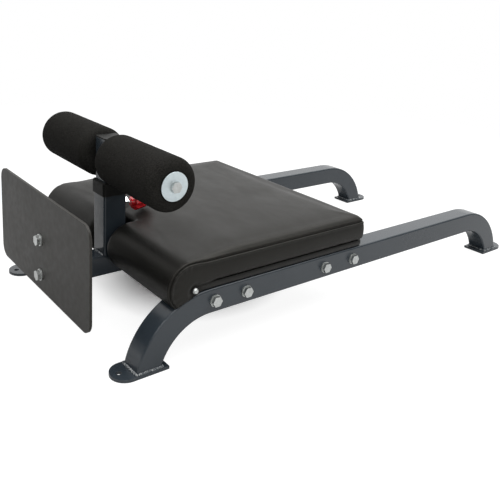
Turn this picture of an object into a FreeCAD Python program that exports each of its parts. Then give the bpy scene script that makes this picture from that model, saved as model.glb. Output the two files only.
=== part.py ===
import FreeCAD, Part
import os

import Sketcher
from FreeCAD import Placement, Rotation, Vector

# Roman chair: a low steel frame with a wide pad, and a sliding foot unit with a foot plate and two
# foam ankle rollers. Row frame, millimetres: origin on the floor at the centre of the four floor-bolt
# holes, +X the way the user faces (away from the foot plate), +Y the user's left, +Z up.

DIMENSIONS = {
    # bent side rails, square tube
    "rail_size": 50, "rail_corner": 4, "tube_wall": 2,
    "rail_middle": 256.5, "rail_height": 107, "bend_place": 422, "bend_radius": 134.5,
    "bolt_hole_radius": 6.5,
    # floor plates
    "plate_width": 60, "plate_length": 103, "plate_thick": 6, "plate_tip": 616.5,
    "floor_hole_radius": 5.5, "floor_hole_inset": 16,
    # cross members between the rails
    "front_cross": 375.5, "rear_cross": 76, "front_bolt_gap": 75, "rear_bolt_gap": 88,
    "cross_size": 40, "cross_height": 112, "flange_thick": 6, "flange_margin": 22, "flange_height": 49,
    "pad_screw_middle": 150,
    # receiver tube that the foot unit slides in, and the sliding spine tube
    "spine_height": 102.5, "receiver_front": 425, "receiver_rear": 50,
    "inner_size": 45, "inner_corner": 4, "bore_corner": 2,
    "spine_front": 629, "spine_rear": 125,
    # glides, caps and collars
    "collar_size": 56, "collar_corner": 6, "collar_length": 28, "collar_lip": 4, "collar_opening": 45.4,
    "collar_chamfer": 2, "cap_flange": 3, "cap_plug": 12, "glide_size": 45.8, "glide_plug": 40.8,
    # foot plate and its bracket
    "foot_width": 445, "foot_height": 204.5, "foot_bottom": 70.5, "foot_thick": 5, "foot_corner": 26,
    "foot_face": 640, "foot_bolt_low": 104, "foot_bolt_high": 178,
    "bracket_width": 60, "bracket_bottom": 80, "bracket_top": 200, "bracket_thick": 6,
    "gusset_length": 50, "gusset_height": 40, "gusset_thick": 6,
    # upright, roller post and rollers
    "upright_place": 489, "upright_top": 278, "post_bottom": 133, "post_top": 371,
    "axle_height": 332.5, "axle_radius": 12.5, "axle_half": 246, "axle_thread": 6, "axle_thread_depth": 25,
    "foam_radius": 52.4, "foam_round": 17, "foam_inner": 24.6, "foam_outer": 245.6,
    "core_radius": 15.5, "core_clearance": 0.06, "spacer_radius": 18, "spacer_end": 24.4,
    "end_washer_radius": 27.5, "end_washer_thick": 2.5,
    # pull pins: distances run outwards from the sliding tube's face
    "pin_height": 225, "pin_place": 345, "pin_pitch": 25, "post_holes": 4, "spine_holes": 7,
    "pin_radius": 5, "pin_chamfer": 1, "pin_hole_radius": 5.25, "pin_travel": 8, "pin_reach": 5,
    "shoulder_radius": 7.4, "shoulder_thick": 2, "stem_radius": 4, "stem_clearance": 0.08,
    "barrel_bore": 7.5, "barrel_neck": 9.5, "barrel_across": 22, "barrel_start": 0.7,
    "barrel_wall_face": 2.5, "barrel_end": 16.7, "barrel_cap": 2, "shoulder_place": 1.2,
    "spring_wire": 0.6, "spring_radius": 5.8, "spring_pitch": 1.3, "spring_gap": 0.05,
    "spring_sections": 12, "wire_sides": 8,
    "knob_radius": 20, "knob_end": 17, "knob_hub": 9, "knob_hub_flare": 11, "knob_hub_length": 7,
    "knob_gap": 0.3, "knob_length": 40, "knob_socket": 15, "knob_bevel": 2, "knob_dome": 8,
    "knob_lobes": 5, "lobe_cut": 9, "lobe_place": 25.4,
    # fasteners: size across flats, head height, shank radius
    "big_across": 19, "big_head": 7.5, "big_shank": 6, "big_nut": 10, "big_washer": 12,
    "big_washer_thick": 2.5, "bolt_tail": 2, "end_bolt_length": 24,
    "small_across": 13, "small_head": 5.5, "small_shank": 4, "small_hole": 4.5, "small_washer": 8,
    "small_washer_thick": 1.6, "insert_radius": 5.5, "insert_length": 14,
    "side_head": 6, "side_head_top": 4, "side_head_height": 3.3, "side_shank": 3,
    "side_thread": 20, "side_screw_length": 20.2,
    "side_washer": 9, "side_washer_thick": 1.2,
    # pad: board, cushion with a rolled front edge, and the two bars in the roll
    "board_front": 437, "board_rear": 2, "board_half": 278, "board_thick": 18, "board_corner": 14,
    "pad_half": 280, "pad_rear": 3, "pad_rear_round": 12, "roll_place": 468, "roll_height": 147,
    "roll_radius": 47, "notch_half": 36, "notch_depth": 440, "rail_clearance": 0.7,
    "bar_place": 458.4, "bar_height": 137.3, "bar_radius": 8, "bar_inner": 46, "bar_outer": 279,
}

DOCUMENT = FreeCAD.newDocument("RomanChair")
SHEET = DOCUMENT.addObject("Spreadsheet::Sheet", "dims")
for row, (alias, size) in enumerate(DIMENSIONS.items(), start=1):
    SHEET.set(f"A{row}", alias)
    SHEET.set(f"B{row}", str(size))
    SHEET.setAlias(f"B{row}", alias)
DOCUMENT.recompute()

NODES = []
UPWARD = Rotation()
DOWNWARD = Rotation(Vector(1, 0, 0), 180)
TOWARDS_PLUS_X = Rotation(Vector(0, 1, 0), 90)
TOWARDS_MINUS_X = Rotation(Vector(0, 1, 0), -90)
TOWARDS_PLUS_Y = Rotation(Vector(1, 0, 0), -90)
TOWARDS_MINUS_Y = Rotation(Vector(1, 0, 0), 90)
PLATE_FACING_X = Rotation(Vector(1, 1, 1), 120)
LEFT, RIGHT = 1, -1
SAME_PLACE = 0.01


# ---- helpers -------------------------------------------------------------------------------------

def number(expression):
    """Value of an expression of the sheet's cells."""
    return float(SHEET.evalExpression(str(expression)))


def place(piece, x="0", y="0", z="0", turned=UPWARD):
    """Turn a piece, and bind its position to expressions."""
    piece.Placement = Placement(Vector(number(x), number(y), number(z)), turned)
    piece.setExpression("Placement.Base.x", str(x))
    piece.setExpression("Placement.Base.y", str(y))
    piece.setExpression("Placement.Base.z", str(z))
    return piece


def keep(piece, name):
    """Name a finished sub-part and list it for the hand-in."""
    piece.Label = name
    NODES.append(piece)
    return piece


def primitive(kind, name, **sizes):
    piece = DOCUMENT.addObject("Part::" + kind, name)
    for size, expression in sizes.items():
        piece.setExpression(size, expression)
    return piece


def cut(name, base, tool):
    piece = DOCUMENT.addObject("Part::Cut", name)
    piece.Base = base
    piece.Tool = tool
    return piece


def fuse(name, base, tool):
    piece = DOCUMENT.addObject("Part::Fuse", name)
    piece.Base = base
    piece.Tool = tool
    return piece


def group(name, pieces):
    """Identical loose solids that share one node."""
    piece = DOCUMENT.addObject("Part::Compound", name)
    piece.Links = pieces
    return keep(piece, name)


def origin_feature(body, role):
    return [feature for feature in body.Origin.OriginFeatures if feature.Role == role][0]


def sketch_on(body, role, name, offset=None):
    sketch = body.newObject("Sketcher::SketchObject", name)
    sketch.AttachmentSupport = [(origin_feature(body, role), "")]
    sketch.MapMode = "FlatFace"
    if offset:
        sketch.setExpression("AttachmentOffset.Base.z", offset)
    return sketch


def constrain(sketch, expression, kind, *where):
    """Add a dimension to a sketch and bind it to an expression."""
    index = sketch.addConstraint(Sketcher.Constraint(kind, *where, number(expression)))
    sketch.setExpression(f"Constraints[{index}]", expression)


def pin_point(sketch, geometry, point, x, y):
    constrain(sketch, x, "DistanceX", -1, 1, geometry, point)
    constrain(sketch, y, "DistanceY", -1, 1, geometry, point)


def circle(sketch, radius, x="0", y="0"):
    centre = Vector(number(x), number(y), 0)
    geometry = sketch.addGeometry(Part.Circle(centre, Vector(0, 0, 1), number(radius)))
    constrain(sketch, radius, "Radius", geometry)
    pin_point(sketch, geometry, 3, x, y)


def outline(sketch, points):
    """Closed polygon through points given as pairs of expressions."""
    corners = [Vector(number(x), number(y), 0) for x, y in points]
    count = len(points)
    first = sketch.GeometryCount
    for index in range(count):
        sketch.addGeometry(Part.LineSegment(corners[index], corners[(index + 1) % count]))
    for index in range(count):
        following = first + (index + 1) % count
        sketch.addConstraint(Sketcher.Constraint("Coincident", first + index, 2, following, 1))
        pin_point(sketch, first + index, 1, *points[index])


def rounded_rectangle(sketch, width, height, corner):
    """Rectangle with rounded corners, centred on the sketch's origin."""
    half_x = number(width) / 2
    half_y = number(height) / 2
    radius = number(corner)
    first = sketch.GeometryCount
    for quarter, (x, y) in enumerate(((1, -1), (1, 1), (-1, 1), (-1, -1))):
        centre = Vector(x * (half_x - radius), y * (half_y - radius), 0)
        start = Rotation(Vector(0, 0, 1), 90 * (quarter - 1)).multVec(Vector(radius, 0, 0))
        middle = Rotation(Vector(0, 0, 1), 45).multVec(start)
        end = Rotation(Vector(0, 0, 1), 90).multVec(start)
        sketch.addGeometry(Part.Arc(centre + start, centre + middle, centre + end))
    arc_ends = [(sketch.getPoint(first + i, 1), sketch.getPoint(first + i, 2)) for i in range(4)]
    for index in range(4):
        sketch.addGeometry(Part.LineSegment(arc_ends[index][1], arc_ends[(index + 1) % 4][0]))
    for index in range(4):
        line = first + 4 + index
        sketch.addConstraint(Sketcher.Constraint("Tangent", first + index, 2, line, 1))
        sketch.addConstraint(Sketcher.Constraint("Tangent", line, 2, first + (index + 1) % 4, 1))
    for index in range(1, 4):
        sketch.addConstraint(Sketcher.Constraint("Equal", first, first + index))
    sketch.addConstraint(Sketcher.Constraint("Vertical", first + 4))
    sketch.addConstraint(Sketcher.Constraint("Symmetric", first, 3, first + 2, 3, -1, 1))
    constrain(sketch, corner, "Radius", first)
    constrain(sketch, width, "DistanceX", first + 6, 1, first + 4, 1)
    constrain(sketch, height, "DistanceY", first + 7, 1, first + 5, 1)


def pad(body, sketch, length, name="pad", middle=False, reverse=False):
    feature = body.newObject("PartDesign::Pad", name)
    feature.Profile = sketch
    feature.setExpression("Length", length)
    feature.Midplane = middle
    feature.Reversed = reverse
    return feature


def pocket(body, sketch, depth=None, name="pocket", middle=False, reverse=False):
    """Cut a sketch out of the body, through everything unless a depth is given."""
    feature = body.newObject("PartDesign::Pocket", name)
    feature.Profile = sketch
    if depth:
        feature.setExpression("Length", depth)
    else:
        feature.Type = "ThroughAll"
    feature.Midplane = middle
    feature.Reversed = reverse
    return feature


def round_edges(body, feature_type, size, chosen):
    """Fillet or chamfer the tip's edges that the chosen() test picks."""
    DOCUMENT.recompute()
    base = body.Tip
    names = [f"Edge{i}" for i, edge in enumerate(base.Shape.Edges, start=1) if chosen(edge)]
    feature = body.newObject("PartDesign::" + feature_type, feature_type.lower())
    feature.Base = (base, names)
    feature.setExpression("Radius" if feature_type == "Fillet" else "Size", size)
    return feature


def lies_at(height):
    """Test for edges that lie flat at a height of their own body."""
    def chosen(edge):
        return max(abs(edge.BoundBox.ZMin - height), abs(edge.BoundBox.ZMax - height)) < SAME_PLACE
    return chosen


def square_tube(name, size, corner, wall, bore_corner, length):
    """Square tube along the body's own Z axis, starting at its origin."""
    body = DOCUMENT.addObject("PartDesign::Body", name)
    section = sketch_on(body, "XY_Plane", name + "_section")
    rounded_rectangle(section, size, size, corner)
    rounded_rectangle(section, f"{size} - 2 * {wall}", f"{size} - 2 * {wall}", bore_corner)
    pad(body, section, length)
    return body


def plate(name, width, height, corner, thick, holes=(), hole_radius=None):
    """Flat plate in the body's XY plane with round holes at pairs of expressions."""
    body = DOCUMENT.addObject("PartDesign::Body", name)
    face = sketch_on(body, "XY_Plane", name + "_face")
    rounded_rectangle(face, width, height, corner)
    for x, y in holes:
        circle(face, hole_radius, x, y)
    pad(body, face, thick)
    return body


def turned_body(name, profile):
    """Solid of revolution about the body's Z axis, from (radius, height) pairs."""
    body = DOCUMENT.addObject("PartDesign::Body", name)
    half = sketch_on(body, "XZ_Plane", name + "_half")
    outline(half, profile)
    turn = body.newObject("PartDesign::Revolution", "turn")
    turn.Profile = half
    turn.ReferenceAxis = (half, ["V_Axis"])
    turn.Angle = 360
    return body


def ring(name, outer, inner, thick):
    hole = primitive("Cylinder", name + "_hole", Radius=inner, Height=thick)
    disc = primitive("Cylinder", name + "_disc", Radius=outer, Height=thick)
    return cut(name, disc, hole)


def hex_bolt(name, across, head, radius, length):
    """Hexagon bolt: the head sits below the origin and the shank runs up from it."""
    top = primitive("Prism", name + "_head", Circumradius=f"{across} / sqrt(3)", Height=head)
    place(top, z=f"-{head}")
    shank = primitive("Cylinder", name + "_shank", Radius=radius, Height=length)
    return fuse(name, top, shank)


def hex_nut(name, across, radius, thick):
    block = primitive("Prism", name + "_block", Circumradius=f"{across} / sqrt(3)", Height=thick)
    bore = primitive("Cylinder", name + "_bore", Radius=radius, Height=thick)
    return cut(name, block, bore)


# ---- frame: side rails, floor plates and cross members -------------------------------------------

CROSS_MEMBERS = (("front", "dims.front_cross", "dims.front_bolt_gap"),
                 ("rear", "dims.rear_cross", "dims.rear_bolt_gap"))
SIDES = (("left", LEFT), ("right", RIGHT))


def side_rail(name, side):
    """Square tube bent down to the floor at both ends, with four bolt holes through it."""
    body = DOCUMENT.addObject("PartDesign::Body", name)
    section = sketch_on(body, "YZ_Plane", name + "_section")
    rounded_rectangle(section, "dims.rail_size", "dims.rail_size", "dims.rail_corner")
    inside = "dims.rail_size - 2 * dims.tube_wall"
    rounded_rectangle(section, inside, inside, "dims.bore_corner")
    path = sketch_on(body, "XZ_Plane", name + "_path")
    bend = number("dims.bend_place")
    radius = number("dims.bend_radius")
    centre = Vector(-bend, -radius, 0)
    path.addGeometry(Part.LineSegment(Vector(0, 0, 0), Vector(-bend, 0, 0)))
    halfway = Rotation(Vector(0, 0, 1), 135).multVec(Vector(radius, 0, 0))
    path.addGeometry(Part.Arc(Vector(-bend, 0, 0), centre + halfway, centre + Vector(-radius, 0, 0)))
    pin_point(path, 0, 1, "0", "0")
    pin_point(path, 0, 2, "-dims.bend_place", "0")
    start = 1 if path.getPoint(1, 1).distanceToPoint(Vector(-bend, 0, 0)) < SAME_PLACE else 2
    path.addConstraint(Sketcher.Constraint("Coincident", 0, 2, 1, start))
    pin_point(path, 1, 3, "-dims.bend_place", "-dims.bend_radius")
    constrain(path, "-dims.bend_radius", "DistanceY", -1, 1, 1, 3 - start)
    bent = body.newObject("PartDesign::AdditivePipe", "bent_tube")
    bent.Profile = section
    bent.Spine = (path, [])
    DOCUMENT.recompute()
    both = body.newObject("PartDesign::Mirrored", "both_ends")
    both.Originals = [bent]
    both.MirrorPlane = (origin_feature(body, "YZ_Plane"), [""])
    body.Tip = both
    below = sketch_on(body, "XY_Plane", name + "_floor", "dims.plate_thick - dims.rail_height")
    reach = "2 * (dims.bend_place + dims.bend_radius + dims.rail_size)"
    rounded_rectangle(below, reach, "2 * dims.rail_size", "dims.rail_corner")
    pocket(body, below, name="trimmed_ends")
    holes = sketch_on(body, "XZ_Plane", name + "_holes")
    for _, cross, gap in CROSS_MEMBERS:
        for way in ("-", "+"):
            circle(holes, "dims.bolt_hole_radius", f"-{cross} {way} {gap} / 2", "0")
    pocket(body, holes, name="bolt_holes", middle=True)
    place(body, y=f"{side} * dims.rail_middle", z="dims.rail_height")
    keep(body, name)


def floor_plate(name, end, side):
    """Plate under a rail's end: round at the outer end, with one floor-bolt hole."""
    body = DOCUMENT.addObject("PartDesign::Body", name)
    face = sketch_on(body, "XY_Plane", name + "_face")
    half = number("dims.plate_width") / 2
    straight = number("dims.plate_length - dims.plate_width / 2")
    corners = [Vector(0, -half, 0), Vector(straight, -half, 0),
               Vector(straight, half, 0), Vector(0, half, 0)]
    for first, second in zip(corners, corners[1:]):
        face.addGeometry(Part.LineSegment(first, second))
    face.addGeometry(Part.Arc(corners[3], Vector(-half, 0, 0), corners[0]))
    half_width = "dims.plate_width / 2"
    length = "dims.plate_length - dims.plate_width / 2"
    pin_point(face, 0, 1, "0", f"-{half_width}")
    pin_point(face, 1, 1, length, f"-{half_width}")
    pin_point(face, 2, 1, length, half_width)
    pin_point(face, 2, 2, "0", half_width)
    constrain(face, "0", "DistanceX", -1, 1, 3, 3)
    for line in (0, 1):
        face.addConstraint(Sketcher.Constraint("Coincident", line, 2, line + 1, 1))
    at_start = face.getPoint(3, 1).distanceToPoint(corners[0]) < SAME_PLACE
    face.addConstraint(Sketcher.Constraint("Coincident", 3, 1 if at_start else 2, 0, 1))
    face.addConstraint(Sketcher.Constraint("Coincident", 3, 2 if at_start else 1, 2, 2))
    circle(face, "dims.floor_hole_radius", f"dims.floor_hole_inset - {half_width}", "0")
    pad(body, face, "dims.plate_thick")
    turned = UPWARD if end < 0 else Rotation(Vector(0, 0, 1), 180)
    place(body, f"{end} * (dims.plate_tip - {half_width})", f"{side} * dims.rail_middle", "0", turned)
    keep(body, name)


def cross_flange(name, cross, gap, side):
    """Plate on a cross tube's end that two bolts hold against the rail's inner face."""
    holes = [(f"{way}{gap} / 2", "0") for way in ("-", "")]
    body = plate(name, f"{gap} + 2 * dims.flange_margin", "dims.flange_height", "dims.rail_corner",
                 "dims.flange_thick", holes, "dims.bolt_hole_radius")
    inwards = TOWARDS_MINUS_Y if side == LEFT else TOWARDS_PLUS_Y
    place(body, f"-{cross}", f"{side} * (dims.rail_middle - dims.rail_size / 2)", "dims.rail_height", inwards)
    keep(body, name)


def cross_tube(name, cross, side):
    """Tube from the receiver's side out to the flange, drilled for one pad screw."""
    start = "dims.rail_size / 2"
    end = "dims.rail_middle - dims.rail_size / 2 - dims.flange_thick"
    body = square_tube(name, "dims.cross_size", "dims.rail_corner", "dims.tube_wall", "dims.bore_corner",
                       f"{end} - {start}")
    hole = sketch_on(body, "XZ_Plane", name + "_hole")
    circle(hole, "dims.small_hole", "0", f"dims.pad_screw_middle - {start}")
    pocket(body, hole, name="screw_hole", middle=True)
    outwards = TOWARDS_PLUS_Y if side == LEFT else TOWARDS_MINUS_Y
    place(body, f"-{cross}", f"{side} * {start}", "dims.cross_height", outwards)
    keep(body, name)


def rail_fasteners():
    bolts, washers, nuts = [], [], []
    outer = "(dims.rail_middle + dims.rail_size / 2)"
    inner = "(dims.rail_middle - dims.rail_size / 2 - dims.flange_thick)"
    thick = "dims.big_washer_thick"
    length = f"{outer} - {inner} + 2 * {thick} + dims.big_nut + dims.bolt_tail"
    for end, cross, gap in CROSS_MEMBERS:
        for side_name, side in SIDES:
            inwards = TOWARDS_MINUS_Y if side == LEFT else TOWARDS_PLUS_Y
            for way in ("-", "+"):
                x = f"-{cross} {way} {gap} / 2"
                tag = f"{end}_{side_name}_{'a' if way == '-' else 'b'}"
                bolt = hex_bolt("rail_bolt_" + tag, "dims.big_across", "dims.big_head", "dims.big_shank",
                                length)
                bolts.append(place(bolt, x, f"{side} * ({outer} + {thick})", "dims.rail_height", inwards))
                for spot, y in (("out", f"{outer} + {thick}"), ("in", inner)):
                    washer = ring(f"rail_washer_{spot}_{tag}", "dims.big_washer", "dims.bolt_hole_radius",
                                  thick)
                    washers.append(place(washer, x, f"{side} * ({y})", "dims.rail_height", inwards))
                nut = hex_nut("rail_nut_" + tag, "dims.big_across", "dims.big_shank", "dims.big_nut")
                nuts.append(place(nut, x, f"{side} * ({inner} - {thick})", "dims.rail_height", inwards))
    group("rail_bolts", bolts)
    group("rail_washers", washers)
    group("rail_nuts", nuts)


# ---- plastic collars, caps and glides ------------------------------------------------------------

def collar(name):
    """Collar on a tube's mouth: it grips the outer tube, and its lip guides the inner tube."""
    body = DOCUMENT.addObject("PartDesign::Body", name)
    outside = sketch_on(body, "XY_Plane", name + "_outside")
    rounded_rectangle(outside, "dims.collar_size", "dims.collar_size", "dims.collar_corner")
    pad(body, outside, "dims.collar_length")
    round_edges(body, "Chamfer", "dims.collar_chamfer", lies_at(number("dims.collar_length")))
    seat = sketch_on(body, "XY_Plane", name + "_seat")
    rounded_rectangle(seat, "dims.rail_size", "dims.rail_size", "dims.rail_corner")
    pocket(body, seat, "dims.collar_length - dims.collar_lip", name="seat", reverse=True)
    opening = sketch_on(body, "XY_Plane", name + "_opening")
    rounded_rectangle(opening, "dims.collar_opening", "dims.collar_opening", "dims.bore_corner")
    pocket(body, opening, name="opening", reverse=True)
    return keep(body, name)


def square_plug(name, flange, flange_corner, plug):
    """Plug for a tube's end: a flange with a block behind it. The flange's inner face is at the origin."""
    body = DOCUMENT.addObject("PartDesign::Body", name)
    rim = sketch_on(body, "XY_Plane", name + "_rim")
    rounded_rectangle(rim, flange, flange, flange_corner)
    pad(body, rim, "dims.cap_flange", "flange")
    block = sketch_on(body, "XY_Plane", name + "_block")
    rounded_rectangle(block, plug, plug, "dims.bore_corner")
    pad(body, block, "dims.cap_plug", "plug", reverse=True)
    return keep(body, name)


# ---- sliding unit: receiver, spine, upright and roller post ---------------------------------------

def hole_row(body, name, face, first, count, radius, depth):
    """Row of pin holes through one wall, spaced by the pin pitch along the tube."""
    start = sketch_on(body, "YZ_Plane", name, face)
    circle(start, radius, "0", first)
    drilled = pocket(body, start, depth, name=name + "_cut")
    if count:
        DOCUMENT.recompute()
        row = body.newObject("PartDesign::LinearPattern", name + "_row")
        row.Originals = [drilled]
        row.Direction = (origin_feature(body, "Z_Axis"), [""])
        row.setExpression("Length", f"dims.pin_pitch * ({count} - 1)")
        row.setExpression("Occurrences", count)
        body.Tip = row


def receiver():
    """Fixed outer tube under the pad, with its pin barrel's hole on the underside."""
    body = square_tube("receiver_tube", "dims.rail_size", "dims.rail_corner", "dims.tube_wall",
                       "dims.bore_corner", "dims.receiver_front - dims.receiver_rear")
    hole_row(body, "barrel_hole", "dims.rail_size / 2", "dims.receiver_front - dims.pin_place", None,
             "dims.barrel_neck", "2 * dims.tube_wall")
    place(body, "-dims.receiver_front", "0", "dims.spine_height", TOWARDS_PLUS_X)
    keep(body, "receiver_tube")
    place(collar("receiver_collar"), "dims.collar_length - dims.collar_lip - dims.receiver_front", "0",
          "dims.spine_height", TOWARDS_MINUS_X)
    cap = square_plug("receiver_end_cap", "dims.rail_size", "dims.rail_corner", "dims.glide_size")
    place(cap, "-dims.receiver_rear", "0", "dims.spine_height", TOWARDS_PLUS_X)


def spine():
    """Sliding inner tube with a row of stop holes on its underside."""
    body = square_tube("spine_tube", "dims.inner_size", "dims.inner_corner", "dims.tube_wall",
                       "dims.bore_corner", "dims.spine_front - dims.spine_rear")
    hole_row(body, "stop_holes", "dims.inner_size / 2", "dims.spine_front - dims.pin_place",
             "dims.spine_holes", "dims.pin_hole_radius", "2 * dims.tube_wall")
    place(body, "-dims.spine_front", "0", "dims.spine_height", TOWARDS_PLUS_X)
    keep(body, "spine_tube")
    glide = square_plug("spine_end_glide", "dims.glide_size", "dims.inner_corner", "dims.glide_plug")
    place(glide, "-dims.spine_rear", "0", "dims.spine_height", TOWARDS_PLUS_X)


def upright():
    """Outer upright welded on the spine, with the height pin's barrel hole on its rear face."""
    bottom = "(dims.spine_height + dims.inner_size / 2)"
    body = square_tube("upright_tube", "dims.rail_size", "dims.rail_corner", "dims.tube_wall",
                       "dims.bore_corner", f"dims.upright_top - {bottom}")
    hole_row(body, "barrel_hole", "dims.rail_size / 2", f"dims.pin_height - {bottom}", None,
             "dims.barrel_neck", "2 * dims.tube_wall")
    place(body, "-dims.upright_place", "0", bottom)
    keep(body, "upright_tube")
    place(collar("post_collar"), "-dims.upright_place", "0",
          "dims.upright_top - dims.collar_length + dims.collar_lip")


def roller_post():
    """Sliding inner post that carries the roller axle, with stop holes on its rear face."""
    body = square_tube("roller_post", "dims.inner_size", "dims.inner_corner", "dims.tube_wall",
                       "dims.bore_corner", "dims.post_top - dims.post_bottom")
    lowest = "dims.pin_height - dims.pin_pitch * (dims.post_holes - 1) - dims.post_bottom"
    hole_row(body, "stop_holes", "dims.inner_size / 2", lowest, "dims.post_holes",
             "dims.pin_hole_radius", "2 * dims.tube_wall")
    axle_hole = sketch_on(body, "XZ_Plane", "axle_hole")
    circle(axle_hole, "dims.axle_radius", "0", "dims.axle_height - dims.post_bottom")
    pocket(body, axle_hole, name="axle_hole_cut", middle=True)
    place(body, "-dims.upright_place", "0", "dims.post_bottom")
    keep(body, "roller_post")
    cap = square_plug("post_top_cap", "dims.inner_size", "dims.inner_corner", "dims.glide_plug")
    place(cap, "-dims.upright_place", "0", "dims.post_top")
    glide = square_plug("post_bottom_glide", "dims.glide_size", "dims.inner_corner", "dims.glide_plug")
    place(glide, "-dims.upright_place", "0", "dims.post_bottom", DOWNWARD)


def gusset():
    """Triangular rib between the bracket and the spine."""
    body = DOCUMENT.addObject("PartDesign::Body", "footplate_gusset")
    face = sketch_on(body, "XZ_Plane", "gusset_face")
    outline(face, [("0", "0"), ("dims.gusset_length", "0"), ("0", "dims.gusset_height")])
    pad(body, face, "dims.gusset_thick", middle=True)
    place(body, "-dims.spine_front", "0", "dims.spine_height + dims.inner_size / 2")
    keep(body, "footplate_gusset")


def footplate():
    """Upright foot plate, its bracket plate, and the two bolts on the centre line."""
    middle = "(dims.foot_bottom + dims.foot_height / 2)"
    holes = [("0", f"dims.foot_bolt_low - {middle}"), ("0", f"dims.foot_bolt_high - {middle}")]
    sheet = plate("footplate", "dims.foot_width", "dims.foot_height", "dims.foot_corner",
                  "dims.foot_thick", holes, "dims.bolt_hole_radius")
    place(sheet, "-dims.foot_face", "0", middle, PLATE_FACING_X)
    keep(sheet, "footplate")
    middle = "((dims.bracket_bottom + dims.bracket_top) / 2)"
    holes = [("0", f"dims.foot_bolt_low - {middle}"), ("0", f"dims.foot_bolt_high - {middle}")]
    bracket = plate("footplate_bracket", "dims.bracket_width", "dims.bracket_top - dims.bracket_bottom",
                    "dims.rail_corner", "dims.bracket_thick", holes, "dims.bolt_hole_radius")
    place(bracket, "dims.foot_thick - dims.foot_face", "0", middle, PLATE_FACING_X)
    keep(bracket, "footplate_bracket")
    bolts, washers, nuts = [], [], []
    stack = "dims.big_washer_thick + dims.foot_thick + dims.bracket_thick"
    for level in ("low", "high"):
        height = "dims.foot_bolt_" + level
        bolt = hex_bolt("foot_bolt_" + level, "dims.big_across", "dims.big_head", "dims.big_shank",
                        f"{stack} + dims.big_nut")
        bolts.append(place(bolt, "-dims.foot_face - dims.big_washer_thick", "0", height, TOWARDS_PLUS_X))
        washer = ring("foot_washer_" + level, "dims.big_washer", "dims.bolt_hole_radius",
                      "dims.big_washer_thick")
        washers.append(place(washer, "-dims.foot_face", "0", height, TOWARDS_MINUS_X))
        nut = hex_nut("foot_nut_" + level, "dims.big_across", "dims.big_shank", "dims.big_nut")
        nuts.append(place(nut, "-dims.spine_front", "0", height, TOWARDS_PLUS_X))
    group("footplate_bolts", bolts)
    group("footplate_washers", washers)
    group("footplate_nuts", nuts)


# ---- ankle rollers --------------------------------------------------------------------------------

def roller(name, side):
    """Foam roller and its plastic core, free to turn on the axle."""
    outwards = TOWARDS_PLUS_Y if side == LEFT else TOWARDS_MINUS_Y
    length = "dims.foam_outer - dims.foam_inner"
    foam = DOCUMENT.addObject("PartDesign::Body", name + "_foam")
    section = sketch_on(foam, "XY_Plane", name + "_section")
    circle(section, "dims.foam_radius")
    circle(section, "dims.core_radius")
    pad(foam, section, length)
    rim = number("dims.foam_radius")
    round_edges(foam, "Fillet", "dims.foam_round",
                lambda edge: len(edge.Vertexes) == 1 and abs(edge.BoundBox.XMax - rim) < SAME_PLACE)
    core = ring(name + "_core", "dims.core_radius", "dims.axle_radius + dims.core_clearance", length)
    for piece, part in ((foam, "_foam"), (core, "_core")):
        place(piece, "-dims.upright_place", f"{side} * dims.foam_inner", "dims.axle_height", outwards)
        keep(piece, name + part)


def roller_hardware():
    """Axle through the post, with a spacer, end washer and end bolt at each side."""
    x, z = "-dims.upright_place", "dims.axle_height"
    axle = primitive("Cylinder", "axle_bar", Radius="dims.axle_radius", Height="2 * dims.axle_half")
    place(axle, x, "-dims.axle_half", z, TOWARDS_PLUS_Y)
    spacers, washers, bolts = [], [], []
    for side_name, side in SIDES:
        outwards, inwards = TOWARDS_PLUS_Y, TOWARDS_MINUS_Y
        if side == RIGHT:
            outwards, inwards = inwards, outwards
        thread = primitive("Cylinder", "axle_thread_" + side_name, Radius="dims.axle_thread",
                           Height="dims.axle_thread_depth")
        place(thread, x, f"{side} * dims.axle_half", z, inwards)
        axle = cut("axle_cut_" + side_name, axle, thread)
        spacer = ring("spacer_" + side_name, "dims.spacer_radius", "dims.axle_radius",
                      "dims.spacer_end - dims.inner_size / 2")
        spacers.append(place(spacer, x, f"{side} * dims.inner_size / 2", z, outwards))
        washer = ring("end_washer_" + side_name, "dims.end_washer_radius", "dims.axle_thread",
                      "dims.end_washer_thick")
        washers.append(place(washer, x, f"{side} * dims.axle_half", z, outwards))
        bolt = hex_bolt("end_bolt_" + side_name, "dims.big_across", "dims.big_head", "dims.axle_thread",
                        "dims.end_bolt_length")
        bolts.append(place(bolt, x, f"{side} * (dims.axle_half + dims.end_washer_thick)", z, inwards))
    keep(axle, "roller_axle")
    group("roller_spacers", spacers)
    group("roller_end_washers", washers)
    group("roller_end_bolts", bolts)


# ---- spring-loaded pull pins, drawn pulled out ----------------------------------------------------

def coil_spring(name):
    """Compressed coil between the pin's shoulder and the barrel's cap, lofted through wire sections."""
    wire = number("dims.spring_wire")
    start = number("dims.shoulder_place + dims.pin_travel + dims.shoulder_thick + dims.spring_gap") + wire
    end = number("dims.barrel_end - dims.barrel_cap - dims.spring_gap") - wire
    per_turn = int(number("dims.spring_sections"))
    count = round(per_turn * (end - start) / number("dims.spring_pitch"))
    sides = int(number("dims.wire_sides"))
    rim = [Rotation(Vector(0, 0, 1), 360 * side / sides).multVec(Vector(wire, 0, 0))
           for side in range(sides + 1)]
    sections = []
    for step in range(count + 1):
        outwards = Rotation(Vector(0, 0, 1), 360 * step / per_turn).multVec(Vector(1, 0, 0))
        centre = outwards * number("dims.spring_radius") + Vector(0, 0, start + (end - start) * step / count)
        corners = [centre + outwards * spot.x + Vector(0, 0, spot.y) for spot in rim]
        sections.append(Part.makePolygon(corners))
    spring = DOCUMENT.addObject("Part::Feature", name)
    spring.Shape = Part.makeLoft(sections, True, True)
    return keep(spring, name)


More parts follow.
